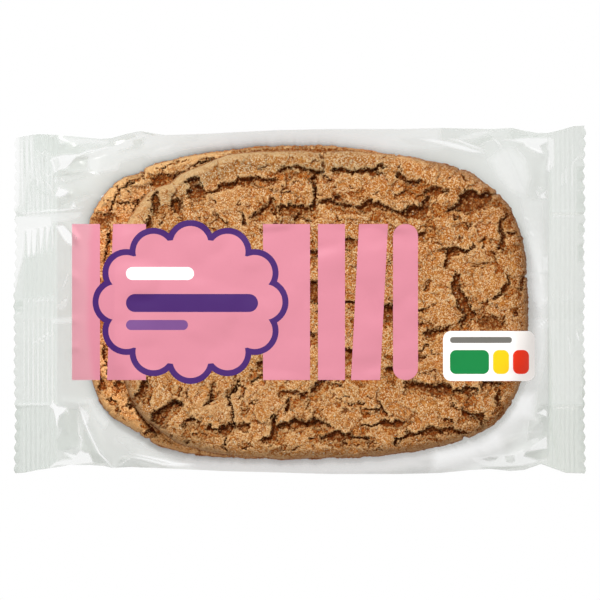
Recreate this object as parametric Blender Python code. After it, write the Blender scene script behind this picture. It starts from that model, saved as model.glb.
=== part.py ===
"""A sealed clear film pack of large speculoos cookies, lying on its back.

Metres, +Z up. X runs along the pack from seal to seal, and the printed front looks up.
The origin is on the surface that the pack lies on, under the middle of the pack.

The pack is one closed body: the form of the film, stretched over two oval cookies that lie
on each other, one pushed a little to the side. Each end is a crimped seal with a saw-cut edge.
"""

import math

import bmesh
import bpy
import numpy as np

# The pack
PACK_LENGTH = 0.265
HALF_WIDTH = 0.0790
SEAL_LENGTHS = (0.0200, 0.0165)  # of the left seal and of the right one
CREASE_HEIGHT = 0.0125  # of the side creases and the seals above the table
SEAL_DROOP = 0.0030  # by which a seal's free end hangs lower
FILM_BODY = 0.0009  # thickness given to the two films where they lie on each other

# The pack is drawn in beside each seal: place along X, depth and reach of the waist
WAISTS = ((-0.0960, 0.0036, 0.0170), (0.1105, 0.0030, 0.0080))

# The crimping and the saw cut of the seals
CRIMP_PITCH = 0.0022
CRIMP_HEIGHT = 0.00025
PLAIN_BAND = 0.0040  # without crimps, at a seal's free end
TOOTH_PITCH = 0.0050
TOOTH_DEPTH = 0.0013

# The cookies: ovals of one size whose outline is a superellipse
COOKIE_HALF_LENGTH = 0.0938
COOKIE_HALF_WIDTH = 0.0708
OVAL_POWER = 3.05
COOKIE_THICKNESS = 0.0152
RIM_ROUNDING = 0.0100  # how far in from the outline the top edge is rounded
RIM_SHARE = 0.45  # share of the thickness that stands as a plain side
FOOT_SHARE = 0.94  # of the outline: further out, the underside curves up off the table
COOKIE_UNEVENNESS = 0.0006
LOWER_CENTRE = (-0.0037, -0.0011)
UPPER_CENTRE = (0.0110, -0.0023)

# The film's form is relaxed like a soap film: these loads bulge it out or let it sag
FRONT_BULGE = 1.3
BACK_SAG = 2.0
RELAX_STEPS = 1500

# Folds of the film, for each: from, to, height and half width. Corner folds run from a seal
# to the side, the others lie along a side.
FOLDS = (
    ((-0.1110, 0.0420), (-0.0840, 0.0760), 0.0021, 0.0070),
    ((-0.1110, 0.0640), (-0.0880, 0.0560), 0.0016, 0.0060),
    ((-0.1110, -0.0470), (-0.0860, -0.0770), 0.0022, 0.0070),
    ((-0.1120, -0.0690), (-0.0930, -0.0560), 0.0016, 0.0060),
    ((0.1130, 0.0500), (0.0880, 0.0740), 0.0020, 0.0070),
    ((0.1130, 0.0660), (0.0980, 0.0440), 0.0015, 0.0060),
    ((0.1130, -0.0440), (0.0960, -0.0700), 0.0021, 0.0070),
    ((0.1120, -0.0680), (0.0900, -0.0600), 0.0014, 0.0060),
    ((0.0250, 0.0740), (0.0860, 0.0680), 0.0012, 0.0055),
    ((-0.0700, -0.0740), (-0.0150, -0.0755), 0.0012, 0.0055),
)

# The mesh: stations along the body, and columns across the front and the back
BODY_STATIONS = 58
COLUMNS = 30

CLEAR_FILM = (0.74, 0.76, 0.74, 1.0)
COOKIE_BROWN = (0.48, 0.22, 0.075, 1.0)


def clear_the_scene():
    for old in list(bpy.data.objects):
        bpy.data.objects.remove(old)


def finish_material(name, colour, roughness):
    """A Principled material of one colour."""
    material = bpy.data.materials.new(name)
    material.use_nodes = True
    shader = material.node_tree.nodes["Principled BSDF"]
    shader.inputs["Base Color"].default_value = colour
    shader.inputs["Roughness"].default_value = roughness
    shader.inputs["Metallic"].default_value = 0.0
    material.diffuse_color = colour
    return material


def oval_radius(x, y, centre):
    """0 at the middle of a cookie and 1 on its outline."""
    along = np.abs(x - centre[0]) / COOKIE_HALF_LENGTH
    across = np.abs(y - centre[1]) / COOKIE_HALF_WIDTH
    return (along**OVAL_POWER + across**OVAL_POWER) ** (1 / OVAL_POWER)


def cookie_top(x, y, centre, floor):
    """Height of a cookie's top, with a rounded rim, and far below the table outside it."""
    radius = oval_radius(x, y, centre)
    inset = np.clip((1 - radius) * COOKIE_HALF_WIDTH / RIM_ROUNDING, 0, 1)
    rounding = np.sqrt(1 - (1 - inset) ** 2)
    uneven = COOKIE_UNEVENNESS * np.sin(x * 95 + 1.1) * np.cos(y * 120 - 0.6)
    top = floor + COOKIE_THICKNESS * (RIM_SHARE + (1 - RIM_SHARE) * rounding) + uneven
    return np.where(radius <= 1, top, -1.0)


def cookie_underside(x, y, centre):
    """Height of a cookie's underside: on the table, then curving up, and none outside it."""
    out = np.clip((oval_radius(x, y, centre) - FOOT_SHARE) / (1 - FOOT_SHARE), 0, 1)
    curve = CREASE_HEIGHT * (1 - np.sqrt(1 - out**2))
    return np.where(out < 1, curve, 1.0)


def half_width(x):
    """Half of the pack's width at x: drawn in beside the seals."""
    width = np.full_like(x, HALF_WIDTH)
    for place, depth, reach in WAISTS:
        width -= depth * np.exp(-(((x - place) / reach) ** 2))
    return width


def inner_ends():
    """X at which the left seal ends and the right one begins."""
    left, right = SEAL_LENGTHS
    return left - PACK_LENGTH / 2, PACK_LENGTH / 2 - right


def seal_height(x):
    """Height of the seals' middle, which droops towards the free ends."""
    left, right = inner_ends()
    into_left = np.clip((left - x) / SEAL_LENGTHS[0], 0, 1)
    into_right = np.clip((x - right) / SEAL_LENGTHS[1], 0, 1)
    return CREASE_HEIGHT - SEAL_DROOP * np.maximum(into_left, into_right) ** 2


def seal_stations(length):
    """Distances into a seal and the crimp height at each: a zigzag, then a plain band."""
    steps = 2 * int((length - PLAIN_BAND) / CRIMP_PITCH)
    places = (length - PLAIN_BAND) * np.arange(1, steps + 1) / steps
    zigzag = CRIMP_HEIGHT * (-1.0) ** np.arange(1, steps + 1)
    return np.append(places, (length - PLAIN_BAND / 2, length)), np.append(zigzag, (0, 0))


def stations():
    """X of each ring of the loft, and the crimp height there."""
    left, right = inner_ends()
    left_places, left_crimps = seal_stations(SEAL_LENGTHS[0])
    right_places, right_crimps = seal_stations(SEAL_LENGTHS[1])
    body = np.linspace(left, right, BODY_STATIONS)
    x = np.concatenate([left - left_places[::-1], body, right + right_places])
    crimp = np.concatenate([left_crimps[::-1], np.zeros(BODY_STATIONS), right_crimps])
    return x, crimp


def fold_heights(x, y):
    """How far the folds lift the film: sharp along the middle, fading at both ends."""
    lift = np.zeros_like(x)
    for start, end, height, reach in FOLDS:
        run = np.subtract(end, start)
        length = math.hypot(*run)
        along = ((x - start[0]) * run[0] + (y - start[1]) * run[1]) / length**2
        aside = ((x - start[0]) * run[1] - (y - start[1]) * run[0]) / length
        ridge = np.clip(1 - np.abs(aside) / reach, 0, 1)
        fade = np.sin(np.pi * np.clip(along, 0, 1))
        lift += height * ridge * fade
    return lift


def relax(height, x, y, free, load, lowest, highest):
    """Lets a film settle: each free point goes to the mean of its neighbours, plus a load,
    and stays between what lies under it and over it."""
    step_x = np.gradient(x, axis=0)[1:-1, 1:-1]
    step_y = np.gradient(y, axis=1)[1:-1, 1:-1]
    share_x = 1 / step_x**2
    share_y = 1 / step_y**2
    for _ in range(RELAX_STEPS):
        along = share_x * (height[2:, 1:-1] + height[:-2, 1:-1])
        across = share_y * (height[1:-1, 2:] + height[1:-1, :-2])
        settled = (along + across + load) / (2 * (share_x + share_y))
        settled = np.clip(settled, lowest[1:-1, 1:-1], highest[1:-1, 1:-1])
        height[1:-1, 1:-1] = np.where(free[1:-1, 1:-1], settled, height[1:-1, 1:-1])
    return height


def film_heights():
    """Grids of X, Y and the heights of the front and the back film."""
    x_line, crimp_line = stations()
    place = np.linspace(-1, 1, COLUMNS + 1)
    place = np.sin(place * math.pi / 2 * 0.72) / math.sin(math.pi / 2 * 0.72)
    x = np.repeat(x_line[:, None], COLUMNS + 1, axis=1)
    y = half_width(x) * place[None, :]
    rest = seal_height(x) + crimp_line[:, None]
    left, right = inner_ends()
    free = (x > left + 1e-6) & (x < right - 1e-6)

    lower = cookie_top(x, y, LOWER_CENTRE, 0.0)
    upper = cookie_top(x, y, UPPER_CENTRE, COOKIE_THICKNESS)
    contents = np.maximum(lower, upper)
    front = rest + FILM_BODY / 2
    ceiling = np.full_like(x, 1.0)
    front = relax(front.copy(), x, y, free, FRONT_BULGE, contents, ceiling)
    side_fade = np.clip((1 - np.abs(place)) / 0.06, 0, 1)[None, :]
    front = front + np.where(free, fold_heights(x, y), 0) * side_fade

    back = rest - FILM_BODY / 2
    ceiling = cookie_underside(x, y, LOWER_CENTRE)
    back = relax(back.copy(), x, y, free, -BACK_SAG, np.zeros_like(x), ceiling)
    return x, y, front, np.minimum(back, front - FILM_BODY)


def loft_mesh(name, x, y, front, back):
    """A closed skin through the rings: front points from side to side, then back points."""
    mesh = bmesh.new()
    rings = []
    for i in range(x.shape[0]):
        over = [(x[i, j], y[i, j], front[i, j]) for j in range(x.shape[1])]
        under = [(x[i, j], y[i, j], back[i, j]) for j in reversed(range(x.shape[1]))]
        rings.append([mesh.verts.new(point) for point in over + under])
    around = len(rings[0])
    for ring, following in zip(rings, rings[1:]):
        for k in range(around):
            after = (k + 1) % around
            mesh.faces.new((ring[k], following[k], following[after], ring[after]))
    for ring in (rings[0], rings[-1]):
        for k in range(around // 2 - 1):
            mesh.faces.new((ring[k], ring[k + 1], ring[-2 - k], ring[-1 - k]))
    bmesh.ops.recalc_face_normals(mesh, faces=mesh.faces)
    data = bpy.data.meshes.new(name)
    mesh.to_mesh(data)
    mesh.free()
    return data


def saw_cutter(side, collection):
    """The waste outside a seal's saw-cut edge: a prism with a zigzag face."""
    tip = side * PACK_LENGTH / 2
    root = tip - side * TOOTH_DEPTH
    reach = HALF_WIDTH + 2 * TOOTH_PITCH
    points = []
    for k in range(int(2 * reach / TOOTH_PITCH) + 1):
        y = -reach + k * TOOTH_PITCH
        points.append((root, y))
        points.append((tip, y + TOOTH_PITCH / 2))
    far = tip + side * 5 * TOOTH_DEPTH
    points += [(far, points[-1][1]), (far, points[0][1])]
    mesh = bmesh.new()
    base = mesh.faces.new([mesh.verts.new((px, py, -0.01)) for px, py in points])
    pushed = bmesh.ops.extrude_face_region(mesh, geom=[base])
    risen = [part for part in pushed["geom"] if isinstance(part, bmesh.types.BMVert)]
    bmesh.ops.translate(mesh, verts=risen, vec=(0, 0, 0.04))
    bmesh.ops.recalc_face_normals(mesh, faces=mesh.faces)
    name = "saw_cut_right" if side > 0 else "saw_cut_left"
    data = bpy.data.meshes.new(name)
    mesh.to_mesh(data)
    mesh.free()
    cutter = bpy.data.objects.new(name, data)
    cutter.hide_render = True
    cutter.display_type = "WIRE"
    collection.objects.link(cutter)
    return cutter


def colour_the_contents(data):
    """Gives the front faces over the cookies the colour that shows through the film."""
    for face in data.polygons:
        x, y, _ = face.center
        inside = any(
            oval_radius(np.float64(x), np.float64(y), centre) < 1
            for centre in (LOWER_CENTRE, UPPER_CENTRE)
        )
        face.material_index = 1 if inside else 0


def sealed_bag(parts, cutters):
    """The whole pack as one body."""
    data = loft_mesh("sealed_bag", *film_heights())
    data.materials.append(finish_material("clear_film", CLEAR_FILM, 0.18))
    data.materials.append(finish_material("cookie_through_film", COOKIE_BROWN, 0.45))
    colour_the_contents(data)
    bag = bpy.data.objects.new("sealed_bag", data)
    parts.objects.link(bag)
    for side in (-1, 1):
        cut = bag.modifiers.new("saw_cut", "BOOLEAN")
        cut.operation = "DIFFERENCE"
        cut.solver = "EXACT"
        cut.object = saw_cutter(side, cutters)
    data.shade_smooth()
    data.set_sharp_from_angle(angle=math.radians(35))
    return bag


def main():
    clear_the_scene()
    parts = bpy.data.collections.new("speculoos_pack")
    cutters = bpy.data.collections.new("cutters")
    for collection in (parts, cutters):
        bpy.context.scene.collection.children.link(collection)
    sealed_bag(parts, cutters)


main()
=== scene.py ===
"""Looks of the clear film pack with its two cracked speculoos cookies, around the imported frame.

Metres, in the frame of the solids: +X along the pack, +Y towards the top of the print, +Z up.
Routes of cracks and folds and places of the print are in the photograph's 600 x 600 pixels,
with y downwards, and at_pixel() turns them into metres at the height that they lie at.
"""

import math
from collections import namedtuple

import bmesh
import bpy
import numpy as np
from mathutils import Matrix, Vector
from mathutils.geometry import delaunay_2d_cdt


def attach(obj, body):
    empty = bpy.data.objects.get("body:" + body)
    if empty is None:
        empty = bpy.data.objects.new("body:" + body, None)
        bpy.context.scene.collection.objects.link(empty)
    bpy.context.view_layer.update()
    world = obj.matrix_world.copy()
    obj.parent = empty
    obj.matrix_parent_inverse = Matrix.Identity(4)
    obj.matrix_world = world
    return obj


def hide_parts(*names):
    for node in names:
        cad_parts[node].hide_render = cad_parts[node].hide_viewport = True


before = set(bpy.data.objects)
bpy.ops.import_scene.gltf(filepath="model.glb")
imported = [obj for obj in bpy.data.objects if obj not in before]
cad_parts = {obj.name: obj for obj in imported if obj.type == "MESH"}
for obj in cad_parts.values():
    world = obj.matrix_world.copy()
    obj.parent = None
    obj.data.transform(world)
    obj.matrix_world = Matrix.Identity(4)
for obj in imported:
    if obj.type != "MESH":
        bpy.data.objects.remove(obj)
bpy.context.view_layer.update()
MM = 1000  # millimetres in a metre

# Photograph: one pixel at the height of the seals, the pixel over the origin, and the camera
PIXEL = 0.00046
MIDDLE_X, MIDDLE_Y = 299.0, 301.0
SEAL_PLANE = 0.0125
PICTURE = 600
LENS, SENSOR = 135.0, 36.0
CAMERA_X = (PICTURE / 2 - MIDDLE_X) * PIXEL
CAMERA_Y = (MIDDLE_Y - PICTURE / 2) * PIXEL
CAMERA_HEIGHT = SEAL_PLANE + PICTURE * PIXEL * LENS / SENSOR

# The cookies
COOKIE_THICKNESS = 0.0152
RIM_ROUNDING = 0.0085
RIM_SHARE = 0.42
BLUNT_RIM = math.radians(152)  # the direction in which the rim is rounded least
PAINTED_LIGHT_SIDE = math.radians(180)  # the direction in which painted light makes whole crust palest
PAINTED_LIGHT_CORNER = math.radians(235)  # the ones in which painted light makes everything a little paler
PAINTED_SHADE_CORNER = math.radians(50)  # or painted shade makes the edge darker
COOL_SHADE_SIDE = math.radians(108)  # and the one in which a cool painted shade lies on the rim
LOWER_FLOOR = 0.0003
UPPER_FLOOR = LOWER_FLOOR + COOKIE_THICKNESS + 0.0001


def nearness(height):
    """How wide a pixel is for points this high, against one at the height of the seals."""
    return (CAMERA_HEIGHT - height) / (CAMERA_HEIGHT - SEAL_PLANE)


def at_pixel(px, py, height=SEAL_PLANE):
    """World X and Y of a point that the photograph shows at this pixel, if it is this high."""
    x = (np.asarray(px, float) - PICTURE / 2) * PIXEL * nearness(height)
    y = (PICTURE / 2 - np.asarray(py, float)) * PIXEL * nearness(height)
    return x + CAMERA_X, y + CAMERA_Y


def pixel_x(px):
    """World X of a column of the photograph, at the height of the seals."""
    return float(at_pixel(px, 0)[0])


def pixel_y(py):
    """World Y of a row of the photograph, at the height of the seals."""
    return float(at_pixel(0, py)[1])


def shown_at(x, y, height):
    """The pixel at which the photograph shows a point this high."""
    wide = PIXEL * nearness(height)
    return (x - CAMERA_X) / wide + PICTURE / 2, PICTURE / 2 - (y - CAMERA_Y) / wide


def seen_at(x, y, z):
    """Where the camera sees these points, on the plane of the seals."""
    return (x - CAMERA_X) / nearness(z) + CAMERA_X, (y - CAMERA_Y) / nearness(z) + CAMERA_Y


def laid_route(route, height):
    """A route given as pixels (X, Y, X, Y and so on) as points of the world this high."""
    px, py = np.reshape(route, (-1, 2)).T
    return np.stack(at_pixel(px, py, height), 1)


# Numbers on grids: noise and the shapes cut into the cookies

NOISE_CORNERS = 128  # the noise repeats after so many bumps
CELL_SEEDS = 64  # and the cells after so many of them
FAR = 1.0  # farther than any point of the pack is from another


def smooth(low, high, value):
    """0 below low, 1 above high and an S curve between."""
    share = np.clip((value - low) / (high - low), 0, 1)
    return share * share * (3 - 2 * share)


def noise(x, y, size, seed):
    """Gradient noise, about -1 to 1, whose bumps are about size across."""
    draw = np.random.default_rng(seed)
    turn = draw.uniform(0, 2 * math.pi, (NOISE_CORNERS, NOISE_CORNERS))
    along, across = np.cos(turn), np.sin(turn)
    u, v = x / size + 40.37, y / size + 60.71
    i, j = np.floor(u).astype(int), np.floor(v).astype(int)
    u, v = u - i, v - j

    def corner(di, dj):
        at = ((i + di) % NOISE_CORNERS, (j + dj) % NOISE_CORNERS)
        return along[at] * (u - di) + across[at] * (v - dj)

    fade_u = u**3 * (u * (6 * u - 15) + 10)
    fade_v = v**3 * (v * (6 * v - 15) + 10)
    low = corner(0, 0) * (1 - fade_u) + corner(1, 0) * fade_u
    high = corner(0, 1) * (1 - fade_u) + corner(1, 1) * fade_u
    return 1.5 * (low * (1 - fade_v) + high * fade_v)


def layered_noise(x, y, size, seed, layers=3, keep=0.5):
    """Noise with finer and weaker noise on top, each layer turned a little."""
    total = np.zeros_like(x)
    weight = 1.0
    for layer in range(layers):
        total += weight * noise(x, y, size, seed + layer)
        x, y = 0.8 * x - 0.6 * y, 0.6 * x + 0.8 * y
        size *= 0.5
        weight *= keep
    return total


def bent(x, y, reach, size, seeds, layers, keep=0.5):
    """The points moved about by noise, so that what is drawn on them gets crooked."""
    return [
        value + reach * layered_noise(x, y, size, seed, layers, keep)
        for value, seed in zip((x, y), seeds)
    ]


def cells(x, y, size, seed):
    """Cells of about this size: the distance to the nearest seed, as a share of the size, that
    seed's number, and the way to it along X and Y."""
    jitter = np.random.default_rng(seed).uniform(0.08, 0.92, (CELL_SEEDS, CELL_SEEDS, 2))
    u, v = x / size + 20.5, y / size + 20.5
    i, j = np.floor(u).astype(int), np.floor(v).astype(int)
    nearest = np.full(x.shape, 9.0)
    number = np.zeros(x.shape, int)
    way_u, way_v = np.zeros_like(x), np.zeros_like(x)
    for di in (-1, 0, 1):
        for dj in (-1, 0, 1):
            a, b = (i + di) % CELL_SEEDS, (j + dj) % CELL_SEEDS
            du = i + di + jitter[a, b, 0] - u
            dv = j + dj + jitter[a, b, 1] - v
            distance = np.hypot(du, dv)
            nearer = distance < nearest
            number = np.where(nearer, a * CELL_SEEDS + b, number)
            way_u = np.where(nearer, du, way_u)
            way_v = np.where(nearer, dv, way_v)
            nearest = np.where(nearer, distance, nearest)
    return nearest, number, way_u, way_v


def along_route(x, y, route):
    """Distance of each point from a route of points, which side it is on (1 is to the left of
    the way that the route runs), and how far along it is, from 0 to 1."""
    route = np.asarray(route, float)
    steps = np.diff(route, axis=0)
    lengths = np.hypot(steps[:, 0], steps[:, 1])
    before = np.concatenate([[0], np.cumsum(lengths)])
    nearest = np.full(x.shape, FAR)
    side = np.ones(x.shape)
    place = np.zeros(x.shape)
    for start, step, length, run in zip(route, steps, lengths, before):
        dx, dy = x - start[0], y - start[1]
        share = np.clip((dx * step[0] + dy * step[1]) / length**2, 0, 1)
        distance = np.hypot(dx - share * step[0], dy - share * step[1])
        closer = distance < nearest
        nearest = np.where(closer, distance, nearest)
        side = np.where(closer, np.sign(step[0] * dy - step[1] * dx), side)
        place = np.where(closer, (run + share * length) / before[-1], place)
    return nearest, side, place


def near_route(x, y, route, reach):
    """Which points of a grid can be within reach of a route."""
    route = np.asarray(route)
    low, high = route.min(axis=0) - reach, route.max(axis=0) + reach
    return (x > low[0]) & (x < high[0]) & (y > low[1]) & (y < high[1])


def outline_sides(x, y, outline):
    """For each side of a closed outline: which points have it to their right, in the way that
    is counted to tell inside from outside, and each point's way to the nearest place on it."""
    for (ax, ay), (bx, by) in zip(outline, np.roll(outline, -1, axis=0)):
        run_x, run_y = bx - ax, by - ay
        crossed = ((ay > y) != (by > y)) & (x < ax + (y - ay) * run_x / (run_y + 1e-12))
        share = np.clip(((x - ax) * run_x + (y - ay) * run_y) / (run_x**2 + run_y**2), 0, 1)
        yield crossed, ax + share * run_x - x, ay + share * run_y - y


def beyond_outline(x, y, outline):
    """Distance of each point from a closed outline, negative inside it."""
    inside = np.zeros(x.shape, bool)
    nearest = np.full(x.shape, FAR)
    for crossed, dx, dy in outline_sides(x, y, outline):
        inside ^= crossed
        nearest = np.minimum(nearest, np.hypot(dx, dy))
    return np.where(inside, -nearest, nearest)


def softened(grid, reach):
    """A grid with each point replaced by the mean around it, weighted to the middle."""
    kernel = np.hanning(2 * reach + 3)[1:-1]
    kernel /= kernel.sum()
    for axis in (0, 1):
        ends = [(0, 0), (0, 0)]
        ends[axis] = (reach, reach)
        wide = np.pad(grid, ends, "edge")
        grid = np.apply_along_axis(np.convolve, axis, wide, kernel, "valid")
    return grid


def keep_highest(grid, chosen, values):
    """Raises the chosen points of a grid to these values where they are lower."""
    grid[chosen] = np.maximum(grid[chosen], values)


# Meshes


def grid_quads(shape):
    """The numbers of the corners of a grid's quads, and the number of each of its points."""
    number = np.arange(shape[0] * shape[1]).reshape(shape)
    corners = (number[:-1, :-1], number[1:, :-1], number[1:, 1:], number[:-1, 1:])
    return np.stack(corners, -1).reshape(-1, 4), number


def linked(name, mesh):
    """A piece of the scene made of this mesh."""
    piece = bpy.data.objects.new(name, mesh)
    bpy.context.scene.collection.objects.link(piece)
    return piece


def woven_piece(name, points, quads, layer, masks, underside=()):
    """A piece made of quads, with masks on its points, and with one face for an underside
    where it has one."""
    mesh = bpy.data.meshes.new(name)
    mesh.vertices.add(len(points))
    mesh.vertices.foreach_set("co", points.ravel())
    corners = np.concatenate([quads.ravel(), np.array(underside, int)])
    mesh.loops.add(len(corners))
    mesh.loops.foreach_set("vertex_index", corners)
    faces = len(quads) + (len(underside) > 0)
    mesh.polygons.add(faces)
    mesh.polygons.foreach_set("loop_start", np.arange(faces) * 4)
    mesh.update(calc_edges=True)
    colours = mesh.color_attributes.new(layer, "FLOAT_COLOR", "POINT")
    colours.data.foreach_set("color", masks.ravel())
    mesh.shade_smooth()
    return linked(name, mesh)


def points_of(mesh):
    """X, Y and Z of a mesh's points."""
    points = np.empty(len(mesh.vertices) * 3)
    mesh.vertices.foreach_get("co", points)
    return points.reshape(-1, 3).T


# Outlines of the cookies, in pixels, clockwise from the left end. The lower cookie's right
# part lies under the upper one and follows the same oval.

UPPER_OUTLINE = (
    118, 300, 119, 262, 122, 240, 127, 223, 139, 204, 148, 193, 157, 188, 170, 184, 180, 175, 204, 165,
    228, 155, 247, 153, 276, 152, 318, 153, 330, 152, 368, 153, 397, 156, 426, 161, 450, 166, 474, 175,
    486, 184, 498, 193, 510, 208, 520, 232, 525, 258, 526.5, 284, 527, 315, 526.5, 346, 522, 378,
    510, 404, 498, 421, 474, 435, 450, 443, 426, 448.5, 396, 453, 366, 456, 330, 457, 306, 457.5,
    258, 456.5, 234, 455.5, 215, 453, 201, 450, 180, 444, 168, 436, 158, 429, 145, 419, 136, 408,
    130, 396, 125, 381, 119, 345,
)
LOWER_OUTLINE = (
    87, 300, 88, 262, 91, 218, 102, 199, 114, 185, 126, 177, 138, 175, 150, 166, 162, 163, 174, 160,
    198, 155, 222, 152, 246, 149, 272, 147.5, 300, 147, 342, 148, 366, 151, 390, 156, 420, 162, 448, 172,
    468, 187, 484, 212, 493, 250, 496, 300, 493, 350, 482, 392, 464, 418, 438, 436, 404, 447, 366, 453,
    320, 456, 270, 457, 234, 456.5, 198, 454, 174, 449.5, 150, 441, 138, 432, 128, 426, 114, 418,
    106, 410, 101, 402, 94, 386, 88, 345,
)

# Notches in the outlines: a point, in pixels, then half the width and the depth in millimetres
UPPER_NOTCHES = (
    (322, 152, 0.9, 1.9), (459, 170, 0.7, 1.0), (496, 194, 0.9, 1.2), (526, 276, 0.8, 1.3),
    (465, 438, 1.1, 1.5), (153, 190, 0.8, 1.0), (141, 207, 0.6, 0.8), (122, 247, 0.7, 0.9),
    (226, 456, 0.6, 0.8), (521, 236, 0.5, 0.6), (512, 400, 0.7, 0.8), (396, 156, 0.6, 0.7),
)
LOWER_NOTCHES = (
    (143, 171, 0.9, 1.2), (150, 438, 1.2, 1.4), (140, 432, 0.7, 0.9), (92, 212, 0.7, 0.9),
    (112, 187, 0.6, 0.8), (90, 262, 0.6, 0.7), (89, 350, 0.7, 0.8), (108, 412, 0.6, 0.9),
    (240, 151, 0.5, 0.5), (206, 155, 0.6, 0.6),
)

# Where the upper cookie's crust is whole: routes in pixels, and half their width in millimetres
WHOLE_CRUST = (
    (4.4, (126, 240, 131, 222, 143, 205, 160, 194, 184, 183, 216, 173, 250, 165, 290, 160, 317, 160)),
    (3.6, (329, 160, 360, 160, 396, 165, 430, 172, 452, 178)),
    (4.5, (215, 204, 235, 199, 255, 194)),
    (4.0, (290, 192, 304, 192)),
    (3.5, (335, 184, 352, 182, 372, 184, 388, 182)),
    (5.0, (430, 262, 440, 275, 446, 290)),
    (6.0, (462, 262, 478, 275, 490, 292)),
    (4.0, (430, 300, 445, 315)),
    (3.5, (415, 372, 432, 366, 438, 350)),
    (4.0, (410, 405, 428, 404, 440, 408)),
    (3.5, (345, 392, 362, 392, 375, 396)),
    (5.0, (262, 392, 272, 402, 280, 412)),
    (4.0, (198, 410, 214, 408, 224, 403)),
    (3.0, (240, 432, 262, 430)),
    (2.2, (180, 443, 215, 450, 260, 453, 320, 454, 380, 452, 430, 444)),
)
LOWER_WHOLE_CRUST = (
    (3.6, (126, 196, 134, 190, 144, 185)),
    (2.0, (100, 209, 106, 198, 114, 190, 124, 182)),
    (1.8, (148, 168, 165, 161, 182, 157, 202, 154)),
    (1.6, (168, 171, 182, 167, 196, 162)),
    (1.5, (116, 209, 124, 208, 132, 208)),
    (2.4, (98, 396, 106, 408, 120, 420, 140, 434)),
)

# Hollows where the crust has broken away down to dark, loose crumb, which painted shade makes
# darker still: depth in millimetres and outline in pixels. Their sides are steep at the top and
# the left and gentle at the bottom.

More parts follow.
